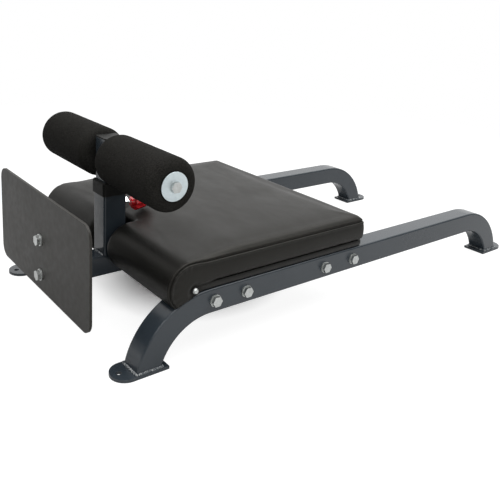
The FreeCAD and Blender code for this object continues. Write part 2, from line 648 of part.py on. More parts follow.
def pull_pin(name, x, y, z, direction):
    """Barrel, spring, pin and knob, drawn pulled out. Heights run outwards from the sliding tube's face."""
    neck = primitive("Cylinder", name + "_neck", Radius="dims.barrel_neck",
                     Height="dims.barrel_wall_face - dims.barrel_start")
    place(neck, z="dims.barrel_start")
    block = primitive("Prism", name + "_block", Circumradius="dims.barrel_across / sqrt(3)",
                      Height="dims.barrel_end - dims.barrel_wall_face")
    place(block, z="dims.barrel_wall_face")
    bore = primitive("Cylinder", name + "_bore", Radius="dims.barrel_bore",
                     Height="dims.barrel_end - dims.barrel_cap")
    stem_hole = primitive("Cylinder", name + "_stem_hole", Radius="dims.stem_radius + dims.stem_clearance",
                          Height="dims.barrel_end")
    hollow = fuse(name + "_hollow", bore, stem_hole)
    barrel = cut(name + "_barrel", fuse(name + "_barrel_blank", neck, block), hollow)
    keep(barrel, name + "_barrel")

    spring = coil_spring(name + "_spring")

    tip = "dims.pin_travel - dims.pin_reach"
    shoulder = "dims.shoulder_place + dims.pin_travel"
    step = f"{shoulder} + dims.shoulder_thick"
    knob_base = "dims.barrel_end + dims.pin_travel + dims.knob_gap"
    stem_end = f"{knob_base} + dims.knob_socket"
    pin = turned_body(name, [
        ("0", tip), ("dims.pin_radius - dims.pin_chamfer", tip),
        ("dims.pin_radius", f"{tip} + dims.pin_chamfer"),
        ("dims.pin_radius", shoulder), ("dims.shoulder_radius", shoulder), ("dims.shoulder_radius", step),
        ("dims.stem_radius", step), ("dims.stem_radius", stem_end), ("0", stem_end)])
    keep(pin, name)

    rim = f"{knob_base} + dims.knob_hub_length"
    top = f"{knob_base} + dims.knob_length"
    knob = turned_body(name + "_knob", [
        ("dims.stem_radius", knob_base), ("dims.knob_hub", knob_base), ("dims.knob_hub_flare", rim),
        ("dims.knob_radius - dims.knob_bevel", rim), ("dims.knob_radius", f"{rim} + 2 * dims.knob_bevel"),
        ("dims.knob_end", f"{top} - dims.knob_dome"), ("dims.knob_end / 2", top), ("0", top),
        ("0", stem_end), ("dims.stem_radius", stem_end)])
    scoop = sketch_on(knob, "XY_Plane", name + "_scoop", f"{rim} - dims.knob_bevel")
    circle(scoop, "dims.lobe_cut", "dims.lobe_place", "0")
    scooped = pocket(knob, scoop, "dims.knob_length", name="scooped", reverse=True)
    DOCUMENT.recompute()
    lobes = knob.newObject("PartDesign::PolarPattern", "lobes")
    lobes.Originals = [scooped]
    lobes.Axis = (origin_feature(knob, "Z_Axis"), [""])
    lobes.Angle = 360
    lobes.setExpression("Occurrences", "dims.knob_lobes")
    knob.Tip = lobes
    keep(knob, name + "_knob")

    for piece in (pin, knob, barrel, spring):
        place(piece, x, y, z, direction)


# ---- pad -------------------------------------------------------------------------------------------

def pad_board():
    """Base board that lies on the rails, drilled for four threaded inserts."""
    length = "(dims.board_front - dims.board_rear)"
    middle = "(dims.board_front + dims.board_rear) / 2"
    holes = [(f"{middle} - {cross}", f"{side} * dims.pad_screw_middle")
             for _, cross, _ in CROSS_MEMBERS for _, side in SIDES]
    body = plate("pad_board", length, "2 * dims.board_half", "dims.board_corner", "dims.board_thick",
                 holes, "dims.insert_radius")
    place(body, f"-{middle}", "0", "dims.rail_height + dims.rail_size / 2")
    keep(body, "pad_board")


def pad_cushion():
    """Cushion with a rolled front edge, notched round the upright and cleared for the rails' bends."""
    body = DOCUMENT.addObject("PartDesign::Body", "pad_cushion")
    side = sketch_on(body, "XZ_Plane", "cushion_side")
    base = "dims.rail_height + dims.rail_size / 2 + dims.board_thick"
    crown = "dims.roll_height + dims.roll_radius"
    under = "dims.roll_height - dims.roll_radius"
    points = [("-dims.roll_place", under), ("-dims.notch_depth", under), ("-dims.notch_depth", base),
              ("-dims.pad_rear", base), ("-dims.pad_rear", crown), ("-dims.roll_place", crown)]
    corners = [Vector(number(x), number(y), 0) for x, y in points]
    for index, (first, second) in enumerate(zip(corners, corners[1:])):
        side.addGeometry(Part.LineSegment(first, second))
        pin_point(side, index, 1, *points[index])
    pin_point(side, 4, 2, *points[5])
    for line in range(4):
        side.addConstraint(Sketcher.Constraint("Coincident", line, 2, line + 1, 1))
    front = Vector(-number("dims.roll_place + dims.roll_radius"), number("dims.roll_height"), 0)
    side.addGeometry(Part.Arc(corners[5], front, corners[0]))
    top_point = 1 if side.getPoint(5, 1).distanceToPoint(corners[5]) < SAME_PLACE else 2
    side.addConstraint(Sketcher.Constraint("Coincident", 5, top_point, 4, 2))
    side.addConstraint(Sketcher.Constraint("Coincident", 5, 3 - top_point, 0, 1))
    constrain(side, "-dims.roll_place", "DistanceX", -1, 1, 5, 3)
    pad(body, side, "2 * dims.pad_half", middle=True)
    rear = -number("dims.pad_rear")
    crown_height = number(crown)
    round_edges(body, "Fillet", "dims.pad_rear_round",
                lambda edge: abs(edge.BoundBox.XMin - rear) < SAME_PLACE
                and abs(edge.BoundBox.ZMin - crown_height) < SAME_PLACE)
    notch = sketch_on(body, "XY_Plane", "notch")
    reach = "dims.roll_place + 2 * dims.roll_radius"
    outline(notch, [(f"-({reach})", "-dims.notch_half"), ("-dims.notch_depth", "-dims.notch_half"),
                    ("-dims.notch_depth", "dims.notch_half"), (f"-({reach})", "dims.notch_half")])
    pocket(body, notch, name="notch_cut", reverse=True)
    rail_face = "(dims.rail_middle - dims.rail_size / 2 - dims.rail_clearance)"
    for side_name, way in SIDES:
        face = sketch_on(body, "XZ_Plane", "bend_" + side_name, f"{-way} * dims.pad_half")
        circle(face, "dims.bend_radius + dims.rail_size / 2 + dims.rail_clearance", "-dims.bend_place",
               "dims.rail_height - dims.bend_radius")
        pocket(body, face, f"dims.pad_half - {rail_face}", name="bend_cut_" + side_name,
               reverse=way == LEFT)
        bore = sketch_on(body, "XZ_Plane", "bore_" + side_name, f"{-way} * dims.pad_half")
        circle(bore, "dims.bar_radius", "-dims.bar_place", "dims.bar_height")
        pocket(body, bore, "dims.pad_half - dims.bar_inner", name="bore_cut_" + side_name,
               reverse=way == LEFT)
    keep(body, "pad_cushion")


def pad_hardware():
    """Edge bars with their side screws, and the screws that hold the board to the cross tubes."""
    bars, side_screws, side_washers = [], [], []
    x, z = "-dims.bar_place", "dims.bar_height"
    for side_name, side in SIDES:
        inwards = TOWARDS_MINUS_Y if side == LEFT else TOWARDS_PLUS_Y
        solid = primitive("Cylinder", "bar_solid_" + side_name, Radius="dims.bar_radius",
                          Height="dims.bar_outer - dims.bar_inner")
        thread = primitive("Cylinder", "bar_thread_" + side_name, Radius="dims.side_shank",
                           Height="dims.side_thread")
        bar = cut("bar_" + side_name, solid, thread)
        bars.append(place(bar, x, f"{side} * dims.bar_outer", z, inwards))
        face = f"{side} * (dims.pad_half + dims.side_washer_thick)"
        washer = ring("side_washer_" + side_name, "dims.side_washer", "dims.side_shank",
                      "dims.side_washer_thick")
        side_washers.append(place(washer, x, face, z, inwards))
        button = primitive("Cone", "side_head_" + side_name, Radius1="dims.side_head_top",
                           Radius2="dims.side_head", Height="dims.side_head_height")
        place(button, z="-dims.side_head_height")
        shank = primitive("Cylinder", "side_shank_" + side_name, Radius="dims.side_shank",
                          Height="dims.side_screw_length")
        side_screws.append(place(fuse("side_screw_" + side_name, button, shank), x, face, z, inwards))
    group("pad_edge_bars", bars)
    group("pad_side_screws", side_screws)
    group("pad_side_washers", side_washers)

    screws, washers, inserts = [], [], []
    under = "dims.cross_height - dims.cross_size / 2"
    board = "(dims.rail_height + dims.rail_size / 2)"
    length = f"{board} + dims.insert_length - ({under}) + dims.small_washer_thick"
    for end, cross, _ in CROSS_MEMBERS:
        for side_name, side in SIDES:
            tag = f"{end}_{side_name}"
            y = f"{side} * dims.pad_screw_middle"
            screw = hex_bolt("pad_screw_" + tag, "dims.small_across", "dims.small_head", "dims.small_shank",
                             length)
            screws.append(place(screw, f"-{cross}", y, f"{under} - dims.small_washer_thick"))
            washer = ring("pad_washer_" + tag, "dims.small_washer", "dims.small_hole",
                          "dims.small_washer_thick")
            washers.append(place(washer, f"-{cross}", y, f"{under} - dims.small_washer_thick"))
            insert = ring("pad_insert_" + tag, "dims.insert_radius", "dims.small_shank", "dims.insert_length")
            inserts.append(place(insert, f"-{cross}", y, board))
    group("pad_mounting_screws", screws)
    group("pad_mounting_washers", washers)
    group("pad_inserts", inserts)


# ---- build, check and write -----------------------------------------------------------------------

def build():
    for side_name, side in SIDES:
        side_rail(side_name + "_rail", side)
        floor_plate(f"front_{side_name}_foot_plate", -1, side)
        floor_plate(f"rear_{side_name}_foot_plate", 1, side)
        for end, cross, gap in CROSS_MEMBERS:
            cross_flange(f"{end}_{side_name}_flange", cross, gap, side)
            cross_tube(f"{end}_{side_name}_cross_tube", cross, side)
        roller(side_name + "_roller", side)
    rail_fasteners()
    receiver()
    spine()
    gusset()
    footplate()
    upright()
    roller_post()
    roller_hardware()
    pull_pin("height_pin", "dims.inner_size / 2 - dims.upright_place", "0", "dims.pin_height", TOWARDS_PLUS_X)
    pull_pin("length_pin", "-dims.pin_place", "0", "dims.spine_height - dims.inner_size / 2", DOWNWARD)
    pad_board()
    pad_cushion()
    pad_hardware()


def write():
    DOCUMENT.recompute()
    failed = [f"{item.Name} {item.State}" for item in DOCUMENT.Objects
              if any(word in item.State for word in ("Invalid", "Error"))]
    for piece in NODES:
        if piece.Shape.isNull() or not piece.Shape.isValid() or not piece.Shape.Solids:
            failed.append(piece.Label + " has no valid solid")
    if failed:
        raise SystemExit("not written: " + "; ".join(failed))
    os.makedirs("parts", exist_ok=True)
    for piece in NODES:
        piece.Shape.exportStep(f"parts/{piece.Label}.step")
    print(len(NODES), "sub-parts written")


build()
write()
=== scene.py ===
import math

import bmesh
import bpy
from mathutils import Matrix, Vector, kdtree, noise


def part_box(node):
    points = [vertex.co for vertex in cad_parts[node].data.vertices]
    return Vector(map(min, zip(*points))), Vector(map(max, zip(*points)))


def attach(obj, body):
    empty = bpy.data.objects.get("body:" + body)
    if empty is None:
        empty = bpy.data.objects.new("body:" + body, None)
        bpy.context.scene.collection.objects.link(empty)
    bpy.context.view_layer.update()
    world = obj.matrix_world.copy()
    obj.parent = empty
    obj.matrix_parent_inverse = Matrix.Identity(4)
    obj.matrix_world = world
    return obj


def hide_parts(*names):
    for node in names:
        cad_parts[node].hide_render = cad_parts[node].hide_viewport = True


# Looks of the roman chair, built round its CAD frame. Metres, in the CAD's row frame: origin on the
# floor, +X away from the foot plate, +Y the user's left, +Z up.

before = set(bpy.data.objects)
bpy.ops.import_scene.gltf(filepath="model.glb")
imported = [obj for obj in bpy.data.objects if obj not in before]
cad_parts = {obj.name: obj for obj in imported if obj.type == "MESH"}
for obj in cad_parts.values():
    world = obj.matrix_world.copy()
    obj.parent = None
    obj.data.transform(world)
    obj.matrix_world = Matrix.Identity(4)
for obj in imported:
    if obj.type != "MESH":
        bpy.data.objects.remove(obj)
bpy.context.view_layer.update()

MM = 0.001
SIDES = (("left", 1), ("right", -1))


# ---- small helpers -----------------------------------------------------------------------------

def lerp(a, b, t):
    return a + (b - a) * t


def smooth(edge0, edge1, x):
    """0 below edge0, 1 above edge1, with a soft ramp between."""
    t = min(1, max(0, (x - edge0) / (edge1 - edge0)))
    return t * t * (3 - 2 * t)


def bump(x, centre, width):
    """Bell of height 1 at centre."""
    return math.exp(-((x - centre) / width) ** 2)


def rough(point, size, seed=0.0):
    """Repeatable noise between about -1 and 1 that varies over the given size."""
    return noise.noise(Vector(point) / size + Vector((seed, seed * 1.7, -seed)))


def add_piece(name, bm, body, material):
    """Turn a bmesh into a smooth-shaded piece that rides on a CAD body."""
    mesh = bpy.data.meshes.new(name)
    bmesh.ops.recalc_face_normals(bm, faces=bm.faces)
    bm.to_mesh(mesh)
    bm.free()
    mesh.shade_smooth()
    mesh.materials.append(material)
    piece = bpy.data.objects.new(name, mesh)
    bpy.context.scene.collection.objects.link(piece)
    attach(piece, body)
    return piece


def arc(across, up, radius, start, end, steps):
    """Points of an arc between two angles in degrees, as (across, up) pairs."""
    turns = [math.radians(lerp(start, end, step / steps)) for step in range(steps + 1)]
    return [(across + radius * math.cos(turn), up + radius * math.sin(turn)) for turn in turns]


def skin(bm, rings, path_closed=False):
    """Quads between rings of points that all have the same count, with the ends of an open path capped."""
    loops = [[bm.verts.new(point) for point in ring] for ring in rings]
    pairs = list(zip(loops, loops[1:]))
    if path_closed:
        pairs.append((loops[-1], loops[0]))
    count = len(loops[0])
    for first, second in pairs:
        for i in range(count):
            j = (i + 1) % count
            bm.faces.new((first[i], first[j], second[j], second[i]))
    if not path_closed:
        bm.faces.new(loops[0])
        bm.faces.new(loops[-1])


def lathe(bm, profile, centre, axis, steps, wobble=0.0):
    """Solid of revolution from a closed outline of (radius, distance along the axis) pairs."""
    axis = Vector(axis).normalized()
    across = axis.orthogonal().normalized()
    upright = axis.cross(across)
    rings = []
    for step in range(steps):
        angle = 2 * math.pi * step / steps
        outwards = across * math.cos(angle) + upright * math.sin(angle)
        ring = []
        for radius, along in profile:
            point = Vector(centre) + axis * along + outwards * radius
            if wobble:
                point += outwards * rough(point, 12 * MM, 3.1) * wobble
            ring.append(point)
        rings.append(ring)
    skin(bm, rings, path_closed=True)


def rounded_outline(lo_x, hi_x, lo_y, hi_y, corner, spacing):
    """Points round a rectangle with rounded corners, with their outward directions."""
    points = []
    centres = ((hi_x - corner, hi_y - corner, 0), (lo_x + corner, hi_y - corner, 90),
               (lo_x + corner, lo_y + corner, 180), (hi_x - corner, lo_y + corner, 270))
    arc_steps = 8
    for index, (x, y, start) in enumerate(centres):
        for step in range(arc_steps + 1):
            angle = math.radians(start + 90 * step / arc_steps)
            way = Vector((math.cos(angle), math.sin(angle), 0))
            points.append((Vector((x, y, 0)) + way * corner, way))
        following = centres[(index + 1) % 4]
        angle = math.radians(start + 90)
        way = Vector((math.cos(angle), math.sin(angle), 0))
        begin = Vector((x, y, 0)) + way * corner
        end = Vector((following[0], following[1], 0)) + way * corner
        count = max(1, round((end - begin).length / spacing))
        for step in range(1, count):
            points.append((begin.lerp(end, step / count), way))
    return points


# ---- materials ---------------------------------------------------------------------------------

class Finish:
    """A procedural material built up in steps on the Principled shader."""

    def __init__(self, name, metallic=0.0):
        self.material = bpy.data.materials.new(name)
        self.material.use_nodes = True
        self.nodes = self.material.node_tree.nodes
        self.links = self.material.node_tree.links
        self.shader = self.nodes["Principled BSDF"]
        self.shader.inputs["Metallic"].default_value = metallic
        self.place = self.nodes.new("ShaderNodeTexCoord").outputs["Object"]
        self.normal = None

    def link(self, source, target):
        self.links.new(source, target)

    def stretch(self, scale):
        """Object coordinates stretched by a vector."""
        mapping = self.nodes.new("ShaderNodeMapping")
        mapping.inputs["Scale"].default_value = scale
        self.link(self.place, mapping.inputs["Vector"])
        return mapping.outputs["Vector"]

    def noise(self, scale, detail=2.0, roughness=0.5, place=None):
        node = self.nodes.new("ShaderNodeTexNoise")
        node.inputs["Scale"].default_value = scale
        node.inputs["Detail"].default_value = detail
        node.inputs["Roughness"].default_value = roughness
        self.link(place or self.place, node.inputs["Vector"])
        return node.outputs["Fac"]

    def cells(self, scale, feature="F1", smoothness=None):
        node = self.nodes.new("ShaderNodeTexVoronoi")
        node.feature = feature
        node.inputs["Scale"].default_value = scale
        if smoothness is not None:
            node.inputs["Smoothness"].default_value = smoothness
        self.link(self.place, node.inputs["Vector"])
        return node.outputs["Distance"]

    def remap(self, value, low, high, to_low=0.0, to_high=1.0):
        node = self.nodes.new("ShaderNodeMapRange")
        node.inputs["From Min"].default_value = low
        node.inputs["From Max"].default_value = high
        node.inputs["To Min"].default_value = to_low
        node.inputs["To Max"].default_value = to_high
        self.link(value, node.inputs["Value"])
        return node.outputs["Result"]

    def math(self, operation, first, second):
        node = self.nodes.new("ShaderNodeMath")
        node.operation = operation
        for socket, value in zip(node.inputs, (first, second)):
            if isinstance(value, (int, float)):
                socket.default_value = value
            else:
                self.link(value, socket)
        return node.outputs["Value"]

    def blend(self, factor, first, second):
        """Mix two colours, each a socket or an (r, g, b)."""
        node = self.nodes.new("ShaderNodeMix")
        node.data_type = "RGBA"
        self.link(factor, node.inputs["Factor"])
        for socket, value in ((node.inputs[6], first), (node.inputs[7], second)):
            if isinstance(value, tuple):
                socket.default_value = (*value, 1)
            else:
                self.link(value, socket)
        return node.outputs[2]

    def edges(self, radius):
        """1 near sharp edges and 0 on flat faces."""
        bevel = self.nodes.new("ShaderNodeBevel")
        bevel.samples = 4
        bevel.inputs["Radius"].default_value = radius
        geometry = self.nodes.new("ShaderNodeNewGeometry")
        dot = self.nodes.new("ShaderNodeVectorMath")
        dot.operation = "DOT_PRODUCT"
        self.link(bevel.outputs["Normal"], dot.inputs[0])
        self.link(geometry.outputs["Normal"], dot.inputs[1])
        return self.remap(dot.outputs["Value"], 0.98, 0.80)

    def soften(self, radius):
        """Round the sharp edges in shading only."""
        bevel = self.nodes.new("ShaderNodeBevel")
        bevel.samples = 4
        bevel.inputs["Radius"].default_value = radius
        self.normal = bevel.outputs["Normal"]

    def relief(self, height, depth, strength=1.0):
        """Bump of the given depth in metres."""
        node = self.nodes.new("ShaderNodeBump")
        node.inputs["Strength"].default_value = strength
        node.inputs["Distance"].default_value = depth
        self.link(height, node.inputs["Height"])
        if self.normal:
            self.link(self.normal, node.inputs["Normal"])
        self.normal = node.outputs["Normal"]

    def finish(self, colour, roughness, specular=0.5, **inputs):
        self.link(colour, self.shader.inputs["Base Color"])
        self.link(roughness, self.shader.inputs["Roughness"])
        self.shader.inputs["Specular IOR Level"].default_value = specular
        for name, value in inputs.items():
            self.shader.inputs[name.replace("_", " ")].default_value = value
        if self.normal:
            self.link(self.normal, self.shader.inputs["Normal"])
        return self.material


def powder_coat(name, dark, light, worn, roughness, specular=0.5):
    """Slate powder coat: orange-peel skin, faint clouding, dust, and slightly rubbed edges."""
    look = Finish(name)
    look.soften(0.6 * MM)
    peel = look.noise(110, 2.0, 0.5)
    clouds = look.noise(9, 4.0, 0.6)
    colour = look.blend(look.remap(clouds, 0.3, 0.7), dark, light)
    rubbed = look.math("MULTIPLY", look.edges(1.2 * MM), look.remap(look.noise(120, 3.0), 0.45, 0.75))
    colour = look.blend(look.math("MULTIPLY", rubbed, 0.55), colour, worn)
    look.relief(peel, 0.02 * MM, 0.10)
    patches = look.math("ADD", clouds, look.noise(70, 2.0))
    shine = look.remap(patches, 0.6, 1.4, roughness - 0.05, roughness + 0.07)
    return look.finish(colour, shine, specular)


def weld_metal(name):
    """Powder-coated weld in the frame's slate, with pale specks painted on at random as highlights that stand
    in for glints on its ripples.
    """
    look = Finish(name)
    # Painted highlights: pale specks at random stand in for glints on the weld, and are made a little
    # glossier.
    painted_glints = look.remap(look.noise(260, 3.0, 0.6), 0.46, 0.60)
    colour = look.blend(painted_glints, (0.030, 0.038, 0.046), (0.30, 0.31, 0.31))
    look.relief(look.noise(420, 3.0, 0.6), 0.4 * MM, 0.8)
    return look.finish(colour, look.remap(painted_glints, 0.0, 1.0, 0.45, 0.28))


def zinc_plate(name, base, tint, roughness):
    """Bright zinc: cool metal with fine directional scratches and cloudy passivation."""
    look = Finish(name, metallic=1.0)
    look.soften(0.5 * MM)
    clouds = look.noise(160, 3.0, 0.6)
    scratches = look.noise(420, 2.0, 0.6, look.stretch((1, 5, 1)))
    colour = look.blend(look.remap(clouds, 0.3, 0.7), base, tint)
    look.relief(scratches, 0.03 * MM, 0.5)
    return look.finish(colour, look.remap(clouds, 0.3, 0.7, roughness, roughness + 0.15))


def bare_steel(name):
    """Turned steel with rings along its length."""
    look = Finish(name, metallic=1.0)
    rings = look.noise(900, 2.0, 0.5, look.stretch((1, 0.05, 1)))
    colour = look.blend(look.noise(90, 3.0), (0.42, 0.42, 0.41), (0.58, 0.58, 0.57))
    look.relief(rings, 0.02 * MM, 0.4)
    return look.finish(colour, look.remap(look.noise(60, 2.0), 0.3, 0.7, 0.24, 0.38))


def chrome(name):
    look = Finish(name, metallic=1.0)
    look.soften(0.8 * MM)
    smudge = look.noise(80, 3.0)
    colour = look.blend(smudge, (0.78, 0.79, 0.80), (0.88, 0.89, 0.90))
    look.relief(look.noise(300, 2.0), 0.01 * MM, 0.3)
    return look.finish(colour, look.remap(smudge, 0.3, 0.7, 0.05, 0.13))


def moulded_plastic(name, dark, light, roughness, texture_depth):
    """Injection-moulded plastic with a fine spark texture."""
    look = Finish(name)
    look.soften(0.8 * MM)
    colour = look.blend(look.noise(40, 3.0), dark, light)
    look.relief(look.noise(1500, 2.0, 0.6), texture_depth, 0.5)
    shine = look.remap(look.noise(200, 2.0), 0.3, 0.7, roughness - 0.05, roughness + 0.08)
    return look.finish(colour, shine, specular=0.08)


def glossy_knob(name):
    """Deep red glossy plastic."""
    look = Finish(name)
    look.soften(1.0 * MM)
    colour = look.blend(look.noise(60, 2.0), (0.50, 0.006, 0.012), (0.66, 0.010, 0.018))
    look.relief(look.noise(240, 2.0), 0.02 * MM, 0.35)
    return look.finish(colour, look.remap(look.noise(90, 2.0), 0.3, 0.7, 0.14, 0.24),
                       Coat_Weight=0.6, Coat_Roughness=0.08)


def closed_cell_foam(name):
    """Black foam: matte, with fine open pores and a slight bloom."""
    look = Finish(name)
    pores = look.cells(520, "SMOOTH_F1", 0.3)
    grain = look.noise(420, 5.0, 0.75)
    patches = look.noise(28, 4.0, 0.6)
    colour = look.blend(look.remap(grain, 0.35, 0.7), (0.0040, 0.0038, 0.0034), (0.0230, 0.0222, 0.0202))
    bloom = look.remap(patches, 0.45, 0.75, 0.0, 0.35)
    colour = look.blend(bloom, colour, (0.0210, 0.0205, 0.0190))
    look.relief(pores, 0.35 * MM, 0.5)
    look.relief(grain, 0.5 * MM, 0.7)
    return look.finish(colour, look.remap(patches, 0.3, 0.7, 0.82, 0.95), specular=0.03)


def vinyl(name, dark, light, roughness, specular, grain_scale):
    """Upholstery vinyl: pebbled leather grain with painted shade in its cracks, fine creases and a satin
    shine that varies.
    """
    look = Finish(name)
    pebbles = look.cells(grain_scale, "SMOOTH_F1", 0.5)
    cracks = look.cells(grain_scale * 0.62, "DISTANCE_TO_EDGE")
    fine = look.noise(grain_scale * 2.2, 3.0, 0.6)
    creases = look.noise(46, 5.0, 0.62, look.stretch((1.0, 0.35, 1.0)))
    clouds = look.noise(7, 3.0, 0.5)
    colour = look.blend(look.remap(clouds, 0.3, 0.7), dark, light)
    # Painted shade: the colour is darkened in the grain's cracks.
    crack_shade = look.remap(cracks, 0.0, 0.07, 1.0, 0.0)
    colour = look.blend(look.math("MULTIPLY", crack_shade, 0.5), colour, tuple(part * 0.45 for part in dark))
    look.relief(creases, 0.9 * MM, 0.10)
    look.relief(pebbles, 0.12 * MM, 0.35)
    look.relief(look.remap(cracks, 0.0, 0.12), 0.07 * MM, 0.5)
    look.relief(fine, 0.04 * MM, 0.4)
    clouded = look.remap(clouds, 0.3, 0.7, -0.04, 0.05)
    creased = look.remap(creases, 0.3, 0.7, -0.03, 0.03)
    shine = look.math("ADD", look.math("ADD", clouded, creased), roughness)
    return look.finish(colour, shine, specular, Specular_Tint=(1.0, 0.98, 0.90, 1))


# Colours are linear RGB, dark first.
PAINT = powder_coat("frame_paint_look",
                    (0.019, 0.0255, 0.032), (0.025, 0.032, 0.039), worn=(0.15, 0.16, 0.165),
                    roughness=0.21)
PLATE_PAINT = powder_coat("footplate_paint_look",
                          (0.019, 0.0178, 0.0152), (0.025, 0.0235, 0.0205), worn=(0.20, 0.195, 0.185),
                          roughness=0.45, specular=0.22)
WELD = weld_metal("weld_look")
ZINC = zinc_plate("zinc_look", (0.40, 0.41, 0.40), (0.54, 0.56, 0.55), roughness=0.28)
PALE_ZINC = zinc_plate("pale_zinc_look", (0.56, 0.63, 0.65), (0.66, 0.73, 0.75), roughness=0.46)
BLACK_STEEL = moulded_plastic("black_hardware_look", (0.010, 0.010, 0.010), (0.018, 0.018, 0.018),
                              roughness=0.35, texture_depth=0.02 * MM)
PLASTIC = moulded_plastic("black_plastic_look", (0.008, 0.008, 0.0075), (0.013, 0.013, 0.012),
                          roughness=0.42, texture_depth=0.04 * MM)
STEEL = bare_steel("bare_steel_look")
CHROME = chrome("chrome_look")
FOAM = closed_cell_foam("roller_foam_look")
RED = glossy_knob("red_knob_look")
VINYL = vinyl("pad_vinyl_look", (0.0050, 0.0047, 0.0041), (0.0080, 0.0076, 0.0067),
              roughness=0.44, specular=0.22, grain_scale=780)
BASE_VINYL = vinyl("pad_base_look", (0.0038, 0.0038, 0.0041), (0.0060, 0.0060, 0.0064),
                   roughness=0.48, specular=0.30, grain_scale=980)

LOOKS = {
    "frame_paint": PAINT, "footplate_paint": PLATE_PAINT, "zinc_hardware": ZINC,
    "black_hardware": BLACK_STEEL, "bare_steel": STEEL, "chrome_pin": CHROME,
    "black_plastic": PLASTIC, "roller_foam": FOAM, "red_knob": RED,
    "pad_base": BASE_VINYL, "pad_vinyl": VINYL,
}
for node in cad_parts.values():
    for entry in node.material_slots:
        entry.material = LOOKS[entry.material.name.split(".")[0]]


# ---- pad ---------------------------------------------------------------------------------------

cushion_low, cushion_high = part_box("pad_cushion")
board_low, board_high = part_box("pad_board")
rail_low, rail_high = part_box("left_rail")
screws_low, screws_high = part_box("pad_side_screws")

# The roll along the pad's front edge, and the pad's outline.
ROLL_RADIUS = (cushion_high.z - cushion_low.z) / 2
ROLL_X = cushion_low.x + ROLL_RADIUS
ROLL_Z = (cushion_high.z + cushion_low.z) / 2
PAD_HALF = cushion_high.y
PAD_REAR = cushion_high.x

# The notch for the upright: half its width, and how far back it reaches.
NOTCH_HALF = 36 * MM
NOTCH_X = board_low.x - 13 * MM

# Heights of the cushion's edge, of its seam and of the board's wrapped band.
EDGE_TOP = cushion_high.z - 2 * MM
SEAM_Z = cushion_high.z - 4.5 * MM
BAND_TOP = board_high.z - 4 * MM

# The side screws' axis, with the radii of a head and of the dimple that it presses, and its depth.
SCREW_X = (screws_low.x + screws_high.x) / 2
SCREW_Z = (screws_low.z + screws_high.z) / 2
SCREW_HEAD = 7 * MM
DIMPLE = 26 * MM
DIMPLE_DEPTH = 6 * MM

# The crown: how far in from a seam it rounds over, how high, and what more it rises in the middle.
EDGE_ROUND = 17 * MM
EDGE_RISE = 10.5 * MM
MIDDLE_RISE = 3.5 * MM

# Axis and radius of the rails' front bend, and the rails' inner faces, which the cushion clears.
BEND_X = -422 * MM
BEND_Z = rail_high.z - 159.5 * MM
BEND_RADIUS = 160 * MM
RAIL_INNER = rail_low.y - 1 * MM

# How much larger than the cushion its blocks are drawn, because smoothing shrinks them.
SPARE = 2.2 * MM


def cushion_side():
    """Outline of the blocks' side as (x, z) points."""
    rear = PAD_REAR + SPARE
    crown = EDGE_TOP + SPARE
    radius = ROLL_RADIUS + SPARE
    corner = 7 * MM
    points = [(rear, BAND_TOP)]
    points += arc(rear - corner, crown - corner, corner, 0, 90, 4)
    points.append((ROLL_X + 0.9 * ROLL_RADIUS, crown))
    points += arc(ROLL_X, ROLL_Z, radius, 90, 342, 32)
    points.append((ROLL_X + radius, BAND_TOP))
    return points


def prism(bm, outline, y_from, y_to):
    skin(bm, [[Vector((x, y, z)) for x, z in outline] for y in (y_from, y_to)])


def clear_of_neighbours(point):
    """Move a point of the cushion off the rails' bends and out from under the side screws' heads."""
    to_screw = math.hypot(point.x - SCREW_X, point.z - SCREW_Z)
    if abs(point.y) > PAD_HALF - DIMPLE_DEPTH and to_screw < DIMPLE:
        most = PAD_HALF - 0.3 * MM + DIMPLE_DEPTH * smooth(SCREW_HEAD, DIMPLE, to_screw)
        point.y = math.copysign(min(abs(point.y), most), point.y)
    if abs(point.y) > RAIL_INNER and point.x < BEND_X + 2 * MM:
        out = Vector((point.x - BEND_X, 0, point.z - BEND_Z))
        if out.length < BEND_RADIUS:
            out *= BEND_RADIUS / out.length
            point = Vector((BEND_X + out.x, point.y, BEND_Z + out.z))
    if abs(point.y) > RAIL_INNER and point.x >= BEND_X:
        point.z = max(point.z, rail_high.z + 0.5 * MM)
    return point


def inflate(piece, pressure, frames, limit):
    """Blow a closed mesh up as cloth, with no point moving further than limit(point)."""
    cloth = piece.modifiers.new("Cloth", "CLOTH")
    settings = cloth.settings
    settings.quality = 4
    settings.mass = 0.3
    settings.tension_stiffness = 14
    settings.compression_stiffness = 14
    settings.shear_stiffness = 6
    settings.bending_stiffness = 0.6
    settings.use_pressure = True
    settings.uniform_pressure_force = pressure
    settings.effector_weights.gravity = 0
    settings.vertex_group_mass = "held"
    cloth.collision_settings.use_collision = False
    cloth.point_cache.frame_start = 1
    cloth.point_cache.frame_end = frames
    scene = bpy.context.scene
    for frame_number in range(1, frames + 1):
        scene.frame_set(frame_number)
    evaluated = piece.evaluated_get(bpy.context.evaluated_depsgraph_get())
    swollen = [vertex.co.copy() for vertex in evaluated.data.vertices]
    piece.modifiers.remove(cloth)
    scene.frame_set(1)
    for vertex, target in zip(piece.data.vertices, swollen):
        move = target - vertex.co
        most = limit(vertex.co)
        if move.length > most:
            move *= most / move.length
        vertex.co += move


def settle(bm, verts, rounds):
    """Even out the mesh at some of its vertices."""
    for _ in range(rounds):
        bmesh.ops.smooth_vert(bm, verts=verts, factor=0.5, use_axis_x=True, use_axis_y=True, use_axis_z=True)


